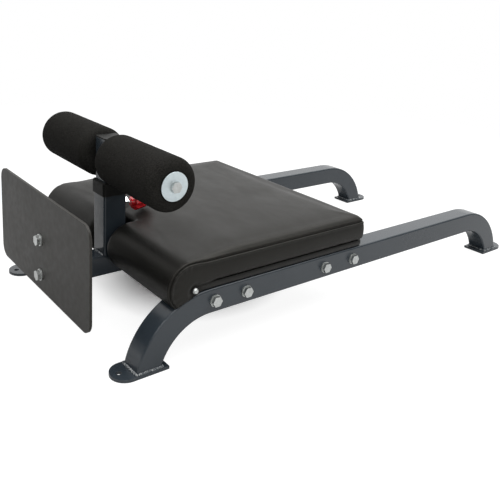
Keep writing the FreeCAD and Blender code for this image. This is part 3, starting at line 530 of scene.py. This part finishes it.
def seam_line():
    """Points, 1 mm apart, of the wrap's seam: round one end of the roll, along a side, the rear and back."""
    side = PAD_HALF - 0.5 * MM
    rear = PAD_REAR - 1.0 * MM
    corner = 9 * MM
    step_up = 2.5 * MM
    half = []
    for x, z in arc(ROLL_X, ROLL_Z, ROLL_RADIUS - 2.5 * MM, 292, 90, 59):
        half.append(Vector((x, side, min(z, SEAM_Z + step_up))))
    straight = 60
    for step in range(1, straight + 1):
        x = lerp(ROLL_X, rear - corner, step / straight)
        rise = step_up * (1 - smooth(ROLL_X, ROLL_X + 45 * MM, x))
        half.append(Vector((x, side, SEAM_Z + rise)))
    for x, y in arc(rear - corner, side - corner, corner, 90, 0, 8)[1:]:
        half.append(Vector((x, y, SEAM_Z)))
    half.append(Vector((rear, 0, SEAM_Z)))
    line = half + [Vector((point.x, -point.y, point.z)) for point in reversed(half[:-1])]
    dense = []
    for first, second in zip(line, line[1:]):
        count = max(1, round((second - first).length / MM))
        dense += [first.lerp(second, step / count) for step in range(count)]
    return dense


class Seam:
    """Nearest-point look-up on the seam."""

    def __init__(self, points):
        self.points = points
        self.tree = kdtree.KDTree(len(points))
        for index, point in enumerate(points):
            self.tree.insert(point, index)
        self.tree.balance()

    def distance(self, point):
        return self.tree.find(point)[2]

    def measure(self, point, normal):
        """How far a point lies across the seam, positive on the wrap's side, and how far along it."""
        spot, index, _ = self.tree.find(point)
        before = self.points[max(0, index - 2)]
        after = self.points[min(len(self.points) - 1, index + 2)]
        along = (after - before).normalized()
        return (point - spot).dot(normal.cross(along)), index * MM


def stitched(bm, seam, reach):
    """Press the seam's groove and raise the welt of the wrap beside it."""
    bm.normal_update()
    moves = []
    for vertex in bm.verts:
        distance = seam.distance(vertex.co)
        if distance > reach:
            continue
        across, along = seam.measure(vertex.co, vertex.normal)
        pull = rough((along, 0, 0), 14 * MM, 5.0)
        fade = 1 - smooth(0.55 * reach, reach, distance)
        crack_shade = -1.9 * bump(across, 0, 0.95 * MM)
        welt = (1.25 + 0.25 * pull) * bump(across, 3.0 * MM, 2.0 * MM)
        panel = 0.55 * bump(across, -3.8 * MM, 2.6 * MM)
        moves.append((vertex, vertex.normal * ((crack_shade + welt + panel) * fade * MM)))
    for vertex, move in moves:
        vertex.co += move


def from_seam(point):
    """Distance inwards from the seams along the sides and the rear."""
    return min(PAD_HALF - abs(point.y), PAD_REAR - point.x)


def off_notch(point):
    """Less in and beside the upright's notch, 1 well away from it."""
    gap = math.hypot(max(0, point.x - NOTCH_X), max(0, abs(point.y) - NOTCH_HALF))
    return lerp(0.35, 1, smooth(0, 50 * MM, gap))


def off_roll(point):
    """0 on the front of the roll, 1 on the flat of the pad."""
    return smooth(ROLL_X - 0.7 * ROLL_RADIUS, ROLL_X + 110 * MM, point.x)


def raise_crown(bm):
    """Fill the top of the cushion: round over from the seams, then a little more towards the middle."""
    bm.normal_update()
    for vertex in bm.verts:
        point = vertex.co
        inwards = from_seam(point)
        short = 1 - min(1, max(0, inwards / EDGE_ROUND))
        fill = EDGE_RISE * math.sqrt(1 - short * short)
        fill += MIDDLE_RISE * smooth(10 * MM, 190 * MM, inwards)
        point.z += fill * off_notch(point) * off_roll(point) * smooth(0.1, 0.6, vertex.normal.z)


def joined_blocks():
    """Mesh of the plain cushion: a block each side of the notch and one behind it, joined by a remesh."""
    bm = bmesh.new()
    side = cushion_side()
    for way in (1, -1):
        prism(bm, side, way * (NOTCH_HALF + 2.5 * MM), way * (PAD_HALF + SPARE))
    notch_end = NOTCH_X + 2 * MM
    overlap = NOTCH_HALF + 12 * MM
    middle = [(x, z) for x, z in side if x > PAD_REAR - 12 * MM]
    middle += [(notch_end, EDGE_TOP + SPARE), (notch_end, BAND_TOP)]
    prism(bm, middle, -overlap, overlap)
    bmesh.ops.recalc_face_normals(bm, faces=bm.faces)
    mesh = bpy.data.meshes.new("cushion_blocks")
    bm.to_mesh(mesh)
    bm.free()
    blocks = bpy.data.objects.new("cushion_blocks", mesh)
    bpy.context.scene.collection.objects.link(blocks)
    remesh = blocks.modifiers.new("Remesh", "REMESH")
    remesh.mode = "VOXEL"
    remesh.voxel_size = 5 * MM
    graph = bpy.context.evaluated_depsgraph_get()
    joined = bpy.data.meshes.new_from_object(blocks.evaluated_get(graph))
    joined.name = "pad_cushion_cover"
    bpy.data.objects.remove(blocks)
    return joined


def hold_rims(cushion):
    """Hold the cloth at its foot and along its seamed rims."""
    held = cushion.vertex_groups.new(name="held")
    for vertex in cushion.data.vertices:
        point = vertex.co
        foot = 1 - smooth(BAND_TOP + 1 * MM, BAND_TOP + 12 * MM, point.z)
        if point.x <= ROLL_X + 0.8 * ROLL_RADIUS:
            foot = 0
        at_edge = bump(point.z, EDGE_TOP, 7 * MM)
        rim = smooth(PAD_HALF - 11 * MM, PAD_HALF - 3 * MM, abs(point.y))
        rim *= at_edge if point.x > ROLL_X else 0.5
        rear_rim = smooth(PAD_REAR - 11 * MM, PAD_REAR - 3 * MM, point.x) * at_edge
        weight = min(1, max(foot, rim, rear_rim))
        if weight > 0.01:
            held.add([vertex.index], weight, "REPLACE")


def most_swell(point):
    """Most that a point may swell, besides the crown that it starts with."""
    inwards = smooth(0, 60 * MM, from_seam(point))
    return lerp(0.8 * MM, 3.5 * MM, inwards) * off_notch(point) * off_roll(point)


def panel_fullness(height):
    """How many millimetres a side panel stands out: full in the middle, tucked in at the foot."""
    share = max(0, min(1, (height - BAND_TOP) / (SEAM_Z - BAND_TOP)))
    under_band = 1 - smooth(BAND_TOP - 2.5 * MM, BAND_TOP + 1 * MM, height)
    return 1.8 * 4 * share * (1 - share) - 1.5 * bump(height, BAND_TOP, 3 * MM) - 5 * under_band


def roll_end_fullness(x, z):
    """How many millimetres the roll's end stands out, with the puckers near its rim."""
    radius = math.hypot(x - ROLL_X, z - ROLL_Z) / ROLL_RADIUS
    angle = math.atan2(z - ROLL_Z, x - ROLL_X)
    pucker = math.sin(angle * 17 + 2.2 * math.sin(angle * 3)) * bump(radius, 0.84, 0.16)
    return 2.2 * (1 - min(1, radius) ** 2) + 0.8 * pucker


def fill_panels(bm):
    """Fill the side and rear panels out between their seams, and let the top's vinyl ripple a little."""
    bm.normal_update()
    for vertex in bm.verts:
        point = vertex.co
        normal = vertex.normal.copy()
        outward = 0.0
        if abs(point.y) > PAD_HALF - 14 * MM and abs(normal.y) > 0.5:
            full = panel_fullness(point.z) if point.x > SCREW_X else roll_end_fullness(point.x, point.z)
            outward = full * abs(normal.y)
        if point.x > PAD_REAR - 14 * MM and normal.x > 0.5:
            outward += panel_fullness(point.z) * normal.x
        top = smooth(0.3, 0.8, normal.z)
        ripple = 0.35 * rough(point, 110 * MM, 1.3) + 0.12 * rough(point, 40 * MM, 7.7)
        vertex.co += normal * ((outward + top * ripple) * MM)


def refine_along(bm, seam):
    """Make the mesh along the seam fine enough for its groove, and even it out."""
    for reach in (10 * MM, 7 * MM):
        near = [edge for edge in bm.edges
                if seam.distance((edge.verts[0].co + edge.verts[1].co) / 2) < reach]
        bmesh.ops.subdivide_edges(bm, edges=near, cuts=1, use_grid_fill=True)
        bmesh.ops.triangulate(bm, faces=[face for face in bm.faces if len(face.verts) > 4])
    settle(bm, [vertex for vertex in bm.verts if seam.distance(vertex.co) < 9 * MM], 3)


def make_cushion():
    """The padded cushion: swollen by cloth simulation, then shaped, seamed and creased."""
    mesh = joined_blocks()
    bm = bmesh.new()
    bm.from_mesh(mesh)
    settle(bm, bm.verts, 2)
    raise_crown(bm)
    bm.to_mesh(mesh)
    bm.free()
    cushion = bpy.data.objects.new("pad_cushion_cover", mesh)
    bpy.context.scene.collection.objects.link(cushion)
    hold_rims(cushion)
    inflate(cushion, pressure=4.0, frames=20, limit=most_swell)

    bm = bmesh.new()
    bm.from_mesh(mesh)
    settle(bm, bm.verts, 3)
    fill_panels(bm)
    bmesh.ops.subdivide_edges(bm, edges=bm.edges, cuts=1, smooth=0.8, use_grid_fill=True)
    settle(bm, bm.verts, 1)
    seam = Seam(seam_line())
    refine_along(bm, seam)
    stitched(bm, seam, reach=11 * MM)
    for vertex in bm.verts:
        vertex.co = clear_of_neighbours(vertex.co.copy())
    bm.to_mesh(mesh)
    bm.free()
    mesh.shade_smooth()
    mesh.materials.clear()
    mesh.materials.append(VINYL)
    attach(cushion, "frame")
    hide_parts("pad_cushion")


def make_board_band():
    """The board under the cushion, wrapped in vinyl, with full rounded sides."""
    side = PAD_HALF - 0.8 * MM
    front = SCREW_X + 6 * MM
    rear = board_high.x + 3.0 * MM
    foot = board_low.z + 0.3 * MM
    outline = rounded_outline(front, rear, -side, side, corner=15 * MM, spacing=8 * MM)
    # How far the side stands out, in millimetres, at each share of the band's height.
    section = [(-24, 0.00), (-4, 0.0), (-1.6, 0.04), (-0.2, 0.14), (0.5, 0.32), (0.8, 0.52),
               (0.6, 0.74), (0.0, 0.90), (-1.0, 0.98), (-2.6, 1.0), (-6.5, 0.97), (-24, 0.9)]
    rings = []
    for offset, share in section:
        height = lerp(foot, BAND_TOP, share)
        ring = []
        for point, way in outline:
            pull = rough((point.x, point.y, height), 26 * MM, 2.0) * 0.35
            ring.append(point + way * ((offset + pull) * MM) + Vector((0, 0, height)))
        rings.append(ring)
    bm = bmesh.new()
    skin(bm, rings)
    band = add_piece("pad_board_cover", bm, "frame", BASE_VINYL)
    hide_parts("pad_board")


make_cushion()
make_board_band()


# ---- ankle rollers -----------------------------------------------------------------------------

def make_roller(name, way):
    """Foam sleeve with soft rounded ends, pressed in a little where the end washer bears on it."""
    low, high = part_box(name + "_foam")
    radius = (high.z - low.z) / 2
    centre = Vector(((high.x + low.x) / 2, 0, (high.z + low.z) / 2))
    inner = min(abs(low.y), abs(high.y))
    outer = max(abs(low.y), abs(high.y))
    bore = 15.6 * MM
    fillet = 17 * MM
    washer = 28 * MM
    # Radius and depth, in millimetres, of the hollow that the end washer presses.
    hollow = [(17, 2.2), (21, 2.0), (25, 1.7), (27.4, 1.3), (28.6, 0.5), (30, 0.1), (33, 0.0)]
    profile = [(bore, inner + 0.4 * MM), (bore, outer - 2.2 * MM)]
    profile += [(across * MM, outer - depth * MM) for across, depth in hollow]
    profile += arc(radius - fillet, outer - fillet, fillet, 90, 0, 10)[1:]
    spans = 28
    length = outer - inner - 2 * fillet
    profile += [(radius, outer - fillet - length * step / spans) for step in range(1, spans)]
    profile += arc(radius - fillet, inner + fillet, fillet, 0, -90, 10)
    profile += [(washer, inner + 0.1 * MM), (20 * MM, inner + 0.4 * MM)]
    bm = bmesh.new()
    lathe(bm, profile, centre, (0, way, 0), 128, wobble=0.22 * MM)
    foam = add_piece(name + "_sleeve", bm, name, FOAM)
    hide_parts(name + "_foam")


def make_end_washers():
    """Washers under the axle's end bolts, slightly dished between the rim and the middle."""
    low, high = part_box("roller_end_washers")
    centre = Vector(((high.x + low.x) / 2, 0, (high.z + low.z) / 2))
    outer = high.y
    radius = (high.z - low.z) / 2 / MM
    bore = 6.2
    thick = 2.5
    section = [(bore, -thick), (radius - 0.5, -thick), (radius, -thick + 0.5), (radius, -0.5),
               (radius - 0.6, 0.0), (radius - 1.4, 0.0), (radius - 2.2, -0.25), (radius - 8, -0.3),
               (14, -0.25), (12, -0.05), (10.5, 0.0), (bore, 0.0)]
    bm = bmesh.new()
    for _, way in SIDES:
        profile = [(across * MM, outer + depth * MM) for across, depth in section]
        lathe(bm, profile, centre, (0, way, 0), 96)
    washers = add_piece("roller_end_discs", bm, "post", PALE_ZINC)
    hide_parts("roller_end_washers")
    washers.modifiers.new("edges", "EDGE_SPLIT").split_angle = math.radians(40)


for side_name, way in SIDES:
    make_roller(side_name + "_roller", way)
make_end_washers()


# ---- weld beads --------------------------------------------------------------------------------

def bead(bm, corners, size, closed, seed):
    """Weld bead along a path: overlapping scales of molten metal."""
    spots = []
    count = len(corners)
    spans = count if closed else count - 1
    for index in range(spans):
        first = Vector(corners[index])
        second = Vector(corners[(index + 1) % count])
        steps = max(2, round((second - first).length / (0.9 * MM)))
        spots += [first.lerp(second, step / steps) for step in range(steps)]
    if not closed:
        spots.append(Vector(corners[-1]))
    total = len(spots)
    rings = []
    for index, spot in enumerate(spots):
        before = spots[index - 1] if closed or index else spot
        after = spots[(index + 1) % total] if closed or index < total - 1 else spot
        along = (after - before).normalized()
        across = along.orthogonal() if abs(along.z) > 0.9 else along.cross(Vector((0, 0, 1)))
        across.normalize()
        upright = across.cross(along)
        travel = index * 0.9
        scale = 0.5 + 0.5 * math.sin(travel * 2 * math.pi / 3.4)
        radius = size * (0.80 + 0.34 * scale + 0.26 * rough((travel * MM, seed, 0), 6 * MM, seed))
        if not closed:
            radius *= 0.35 + 0.65 * min(1, index / 4, (total - 1 - index) / 4)
        shift = rough((travel * MM, 0, seed), 9 * MM, seed) * 0.25 * size
        ring = []
        for step in range(8):
            angle = 2 * math.pi * step / 8
            sideways = across * (radius * math.cos(angle) + shift)
            ring.append(spot + sideways + upright * (radius * math.sin(angle)))
        rings.append(ring)
    skin(bm, rings, path_closed=closed)


def box_path(lo_x, hi_x, lo_y, hi_y, z):
    return [(lo_x, lo_y, z), (hi_x, lo_y, z), (hi_x, hi_y, z), (lo_x, hi_y, z)]


def make_foot_welds():
    """Fillet welds round each rail's foot on its floor plate."""
    foot_length = 51.6 * MM
    gap_x = 0.4 * MM
    gap = 0.3 * MM
    margin = 2.6 * MM
    for end, end_way in (("front", -1), ("rear", 1)):
        for side_name, way in SIDES:
            plate_low, plate_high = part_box(f"{end}_{side_name}_foot_plate")
            low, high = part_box(side_name + "_rail")
            xs = sorted((end_way * (high.x + gap_x), end_way * (high.x - foot_length - gap_x)))
            edges = (low.y - gap, high.y + gap)
            ys = [max(plate_low.y + margin, min(plate_high.y - margin, y)) for y in edges]
            bm = bmesh.new()
            path = box_path(*xs, *ys, plate_high.z + gap)
            bead(bm, path, 2.9 * MM, True, 1.0 + way + 3 * end_way)
            add_piece(f"{end}_{side_name}_foot_weld", bm, "frame", WELD)


def make_frame_welds():
    """Welds between the cross tubes and their flanges, and where the cross tubes meet the receiver."""
    bm = bmesh.new()
    seed = 4.0
    for end in ("front", "rear"):
        for side_name, way in SIDES:
            low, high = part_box(f"{end}_{side_name}_cross_tube")
            outer = max(abs(low.y), abs(high.y)) - 0.4 * MM
            inner = min(abs(low.y), abs(high.y)) + 0.4 * MM
            for depth, drop in ((outer, 0), (inner, 4.5 * MM)):
                y = way * depth
                top = high.z - 3 * MM - drop
                path = [(low.x, y, low.z), (high.x, y, low.z), (high.x, y, top), (low.x, y, top)]
                bead(bm, path, 2.2 * MM, True, seed)
                seed += 1.3
    add_piece("cross_member_welds", bm, "frame", WELD)


def make_carriage_welds():
    """Welds round the upright's foot, the gusset and the bracket on the sliding spine."""
    upright_low, upright_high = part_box("upright_tube")
    spine_low, spine_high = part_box("spine_tube")
    gusset_low, gusset_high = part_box("footplate_gusset")
    bm = bmesh.new()
    base = spine_high.z + 0.2 * MM
    for x in (upright_low.x - 0.3 * MM, upright_high.x + 0.3 * MM):
        path = [(x, spine_low.y + 3 * MM, base), (x, spine_high.y - 3 * MM, base)]
        bead(bm, path, 2.6 * MM, False, 2.0 + x)
    for way in (1, -1):
        y = way * (gusset_high.y + 0.3 * MM)
        path = [(gusset_low.x + 4 * MM, y, base), (gusset_high.x - 3 * MM, y, base)]
        bead(bm, path, 1.8 * MM, False, 5.0 + way)
        x = gusset_low.x + 0.3 * MM
        path = [(x, y, base + 4 * MM), (x, y, gusset_high.z - 3 * MM)]
        bead(bm, path, 1.8 * MM, False, 8.0 + way)
    x = spine_low.x + 0.3 * MM
    for way in (1, -1):
        y = way * (spine_high.y + 0.2 * MM)
        path = [(x, y, spine_low.z + 4 * MM), (x, y, spine_high.z - 4 * MM)]
        bead(bm, path, 2.2 * MM, False, 11.0 + way)
    path = [(x, spine_low.y + 4 * MM, spine_low.z), (x, spine_high.y - 4 * MM, spine_low.z)]
    bead(bm, path, 2.0 * MM, False, 14.0)
    add_piece("carriage_welds", bm, "carriage", WELD)


make_foot_welds()
make_frame_welds()
make_carriage_welds()


# ---- foot plate tread --------------------------------------------------------------------------

def make_tread():
    """Raised lens-shaped lugs in a chequer over the foot plate's rear face."""
    low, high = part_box("footplate")
    bracket_low, bracket_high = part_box("footplate_bracket")
    pitch = 24 * MM
    margin = 0.62 * pitch
    clearance = 9 * MM
    width = high.y - low.y - 1.1 * pitch
    columns = round((high.y - low.y) / pitch) - 1
    rows = round((high.z - low.z) / pitch) - 1
    bm = bmesh.new()
    for column in range(columns):
        for row in range(rows):
            y = (column - (columns - 1) / 2) * width / (columns - 1)
            z = lerp(low.z + margin, high.z - margin, row / (rows - 1))
            if abs(y) < bracket_high.y + clearance and z < bracket_high.z + clearance:
                continue
            turn = math.radians(45 if (column + row) % 2 else -45)
            centre = Vector((high.x - 0.2 * MM, y, z))
            lug(bm, centre, turn, half=13.5 * MM, width=4.2 * MM, height=1.9 * MM)
    add_piece("footplate_tread", bm, "carriage", PLATE_PAINT)


def lug(bm, centre, turn, half, width, height):
    """One lens-shaped lug, drawn as shrinking rings that stand off the plate along +X."""
    along = Vector((0, math.cos(turn), math.sin(turn)))
    across = Vector((0, -math.sin(turn), math.cos(turn)))
    rings = []
    for level, shrink in ((0.0, 1.0), (0.55, 0.9), (0.88, 0.68), (1.0, 0.35)):
        ring = []
        for step in range(16):
            angle = 2 * math.pi * step / 16
            reach = math.cos(angle)
            belly = math.sin(angle) * (1 - 0.35 * abs(reach))
            flat = along * (reach * half * shrink) + across * (belly * width * shrink)
            ring.append(centre + flat + Vector((height * level, 0, 0)))
        rings.append(ring)
    skin(bm, rings)


make_tread()


# ---- studio ------------------------------------------------------------------------------------

# Where the floor's shadow is left, the distances over which painted light (a white glow) washes the shadow
# out round it, and the distances over which the floor fades to white.
UNDER_PAD = ((cushion_low.x + cushion_high.x) / 2, 0.05, 0)
SHADOW_FADE = (0.13, 0.25)
FLOOR_FADE = (0.9, 2.4)
FLOOR_HALF = 14.0

# Brightness of the studio's walls as the object reflects them.
BACK_WALL_WAY = (0.62, 0.78, 0.0)
BACK_WALL = 1.15
DARK_WALL = 0.10
CEILING = 0.80

# Place, target, width and depth in metres, and watts.
LAMPS = {
    "overhead": ((0.3, -0.75, 2.6), (0.3, -0.75, 0), 3.6, 3.0, 105),
    "front_fill": ((-1.2, -2.9, 1.2), (0, 0, 0.1), 2.4, 1.2, 15),
    "side_strip": ((-2.6, -0.8, 2.1), (-0.5, -0.2, 0.15), 0.5, 1.4, 12),
}

# The photo's viewpoint, with the turns in degrees, the lens in mm and the shifts as shares of the frame.
CAMERA_PLACE = (-1.0901, -1.1762, 0.6726)
CAMERA_YAW = 39.11
CAMERA_PITCH = 13.26
CAMERA_ROLL = 3.22
LENS = 46.58
LENS_SHIFT = {"shift_x": 0.0111, "shift_y": -0.2074}


def ramp(tree, place, operation, spot, reach, levels, easing="LINEAR"):
    """Value that goes between two levels as a vector operation on the place and the spot covers a reach."""
    measure = tree.nodes.new("ShaderNodeVectorMath")
    measure.operation = operation
    tree.links.new(place, measure.inputs[0])
    measure.inputs[1].default_value = spot
    remap = tree.nodes.new("ShaderNodeMapRange")
    remap.interpolation_type = easing
    for name, value in zip(("From Min", "From Max", "To Min", "To Max"), (*reach, *levels)):
        remap.inputs[name].default_value = value
    tree.links.new(measure.outputs["Value"], remap.inputs["Value"])
    return remap.outputs["Result"]


def mixed(tree, factor, first, second):
    """Mix two shaders by a socket's value."""
    mix = tree.nodes.new("ShaderNodeMixShader")
    for socket, source in zip(mix.inputs, (factor, first, second)):
        tree.links.new(source, socket)
    return mix.outputs["Shader"]


def diffuse(tree, level):
    shader = tree.nodes.new("ShaderNodeBsdfDiffuse")
    shader.inputs["Color"].default_value = (level, level, level, 1)
    return shader.outputs["BSDF"]


def make_floor():
    """A white sweep: to the camera its diffuse is doubled and mixed with a white glow, painted light that
    washes out the shadows more with distance from under the pad so that only the shadow under the pad is
    left, and white far off.
    """
    bm = bmesh.new()
    bmesh.ops.create_grid(bm, x_segments=2, y_segments=2, size=FLOOR_HALF)
    mesh = bpy.data.meshes.new("floor")
    bm.to_mesh(mesh)
    bm.free()
    floor = bpy.data.objects.new("floor", mesh)
    bpy.context.scene.collection.objects.link(floor)
    look = bpy.data.materials.new("floor_look")
    look.use_nodes = True
    tree = look.node_tree
    tree.nodes.clear()
    place = tree.nodes.new("ShaderNodeTexCoord").outputs["Object"]
    glow = tree.nodes.new("ShaderNodeEmission").outputs["Emission"]
    doubled = tree.nodes.new("ShaderNodeAddShader")
    for socket in doubled.inputs:
        tree.links.new(diffuse(tree, 0.90), socket)
    # Painted light: a white glow, mixed in more with distance from under the pad, washes out the floor's
    # shadows there.
    painted_light_share = ramp(tree, place, "DISTANCE", UNDER_PAD, SHADOW_FADE, (0.10, 0.90))
    seen = mixed(tree, painted_light_share, doubled.outputs["Shader"], glow)
    path = tree.nodes.new("ShaderNodeLightPath")
    shown = mixed(tree, path.outputs["Is Camera Ray"], diffuse(tree, 0.55), seen)
    far_off = ramp(tree, place, "DISTANCE", (0, 0, 0), FLOOR_FADE, (0, 1))
    output = tree.nodes.new("ShaderNodeOutputMaterial")
    tree.links.new(mixed(tree, far_off, shown, glow), output.inputs["Surface"])
    mesh.materials.append(look)


def make_world():
    """White to the camera; to the object, a studio with a bright back wall, dark sides and a soft top."""
    world = bpy.data.worlds.new("studio")
    bpy.context.scene.world = world
    world.use_nodes = True
    tree = world.node_tree
    tree.nodes.clear()
    way = tree.nodes.new("ShaderNodeTexCoord").outputs["Generated"]
    wall = ramp(tree, way, "DOT_PRODUCT", BACK_WALL_WAY, (-0.1, 0.9), (DARK_WALL, BACK_WALL), "SMOOTHSTEP")
    top = ramp(tree, way, "DOT_PRODUCT", (0, 0, 1), (0.30, 0.95), (0, CEILING), "SMOOTHSTEP")
    total = tree.nodes.new("ShaderNodeMath")
    total.operation = "ADD"
    tree.links.new(wall, total.inputs[0])
    tree.links.new(top, total.inputs[1])
    soft = tree.nodes.new("ShaderNodeBackground")
    tree.links.new(total.outputs["Value"], soft.inputs["Color"])
    white = tree.nodes.new("ShaderNodeBackground")
    white.inputs["Color"].default_value = (1, 1, 1, 1)
    path = tree.nodes.new("ShaderNodeLightPath")
    by_camera = path.outputs["Is Camera Ray"]
    shown = mixed(tree, by_camera, soft.outputs["Background"], white.outputs["Background"])
    output = tree.nodes.new("ShaderNodeOutputWorld")
    tree.links.new(shown, output.inputs["Surface"])


def make_lamps():
    for name, (place, target, width, depth, power) in LAMPS.items():
        light = bpy.data.lights.new(name, "AREA")
        light.shape = "RECTANGLE"
        light.size = width
        light.size_y = depth
        light.energy = power
        lamp = bpy.data.objects.new(name, light)
        lamp.location = place
        lamp.rotation_euler = (Vector(target) - Vector(place)).to_track_quat("-Z", "Y").to_euler()
        lamp.visible_camera = False
        bpy.context.scene.collection.objects.link(lamp)


def shift_at_home(camera, channel, amount):
    """Shift the lens while the camera stands at its own place, and not when it is moved round the object.

    The driver's curve peaks at the camera's own X and is zero 20 mm to either side of it.
    """
    curve = camera.data.driver_add(channel)
    curve.modifiers.remove(curve.modifiers[0])
    curve.driver.type = "AVERAGE"
    target = curve.driver.variables.new()
    target.type = "TRANSFORMS"
    target.targets[0].id = camera
    target.targets[0].transform_type = "LOC_X"
    target.targets[0].transform_space = "WORLD_SPACE"
    home = camera.matrix_world.translation.x
    for offset, shift in ((-20 * MM, 0), (0, amount), (20 * MM, 0)):
        curve.keyframe_points.insert(home + offset, shift).interpolation = "LINEAR"
    curve.extrapolation = "CONSTANT"


def make_camera():
    """Eye height and direction of a product shot from the front right corner."""
    yaw = math.radians(CAMERA_YAW)
    pitch = math.radians(CAMERA_PITCH)
    roll = math.radians(CAMERA_ROLL)
    forward = Vector((math.sin(yaw) * math.cos(pitch), math.cos(yaw) * math.cos(pitch), -math.sin(pitch)))
    level = Vector((math.cos(yaw), -math.sin(yaw), 0))
    overhead = level.cross(forward)
    right = level * math.cos(roll) + overhead * math.sin(roll)
    upright = overhead * math.cos(roll) - level * math.sin(roll)
    data = bpy.data.cameras.new("camera")
    data.sensor_width = 36
    data.lens = LENS
    data.clip_start = 0.05
    data.clip_end = 60
    camera = bpy.data.objects.new("camera", data)
    turn = Matrix((right, upright, -forward)).transposed().to_4x4()
    camera.matrix_world = Matrix.Translation(CAMERA_PLACE) @ turn
    bpy.context.scene.collection.objects.link(camera)
    for channel, amount in LENS_SHIFT.items():
        shift_at_home(camera, channel, amount)
    bpy.context.scene.camera = camera


make_floor()
make_world()
make_lamps()
make_camera()
bpy.context.scene.view_settings.view_transform = "Standard"
bpy.context.scene.view_settings.look = "None"
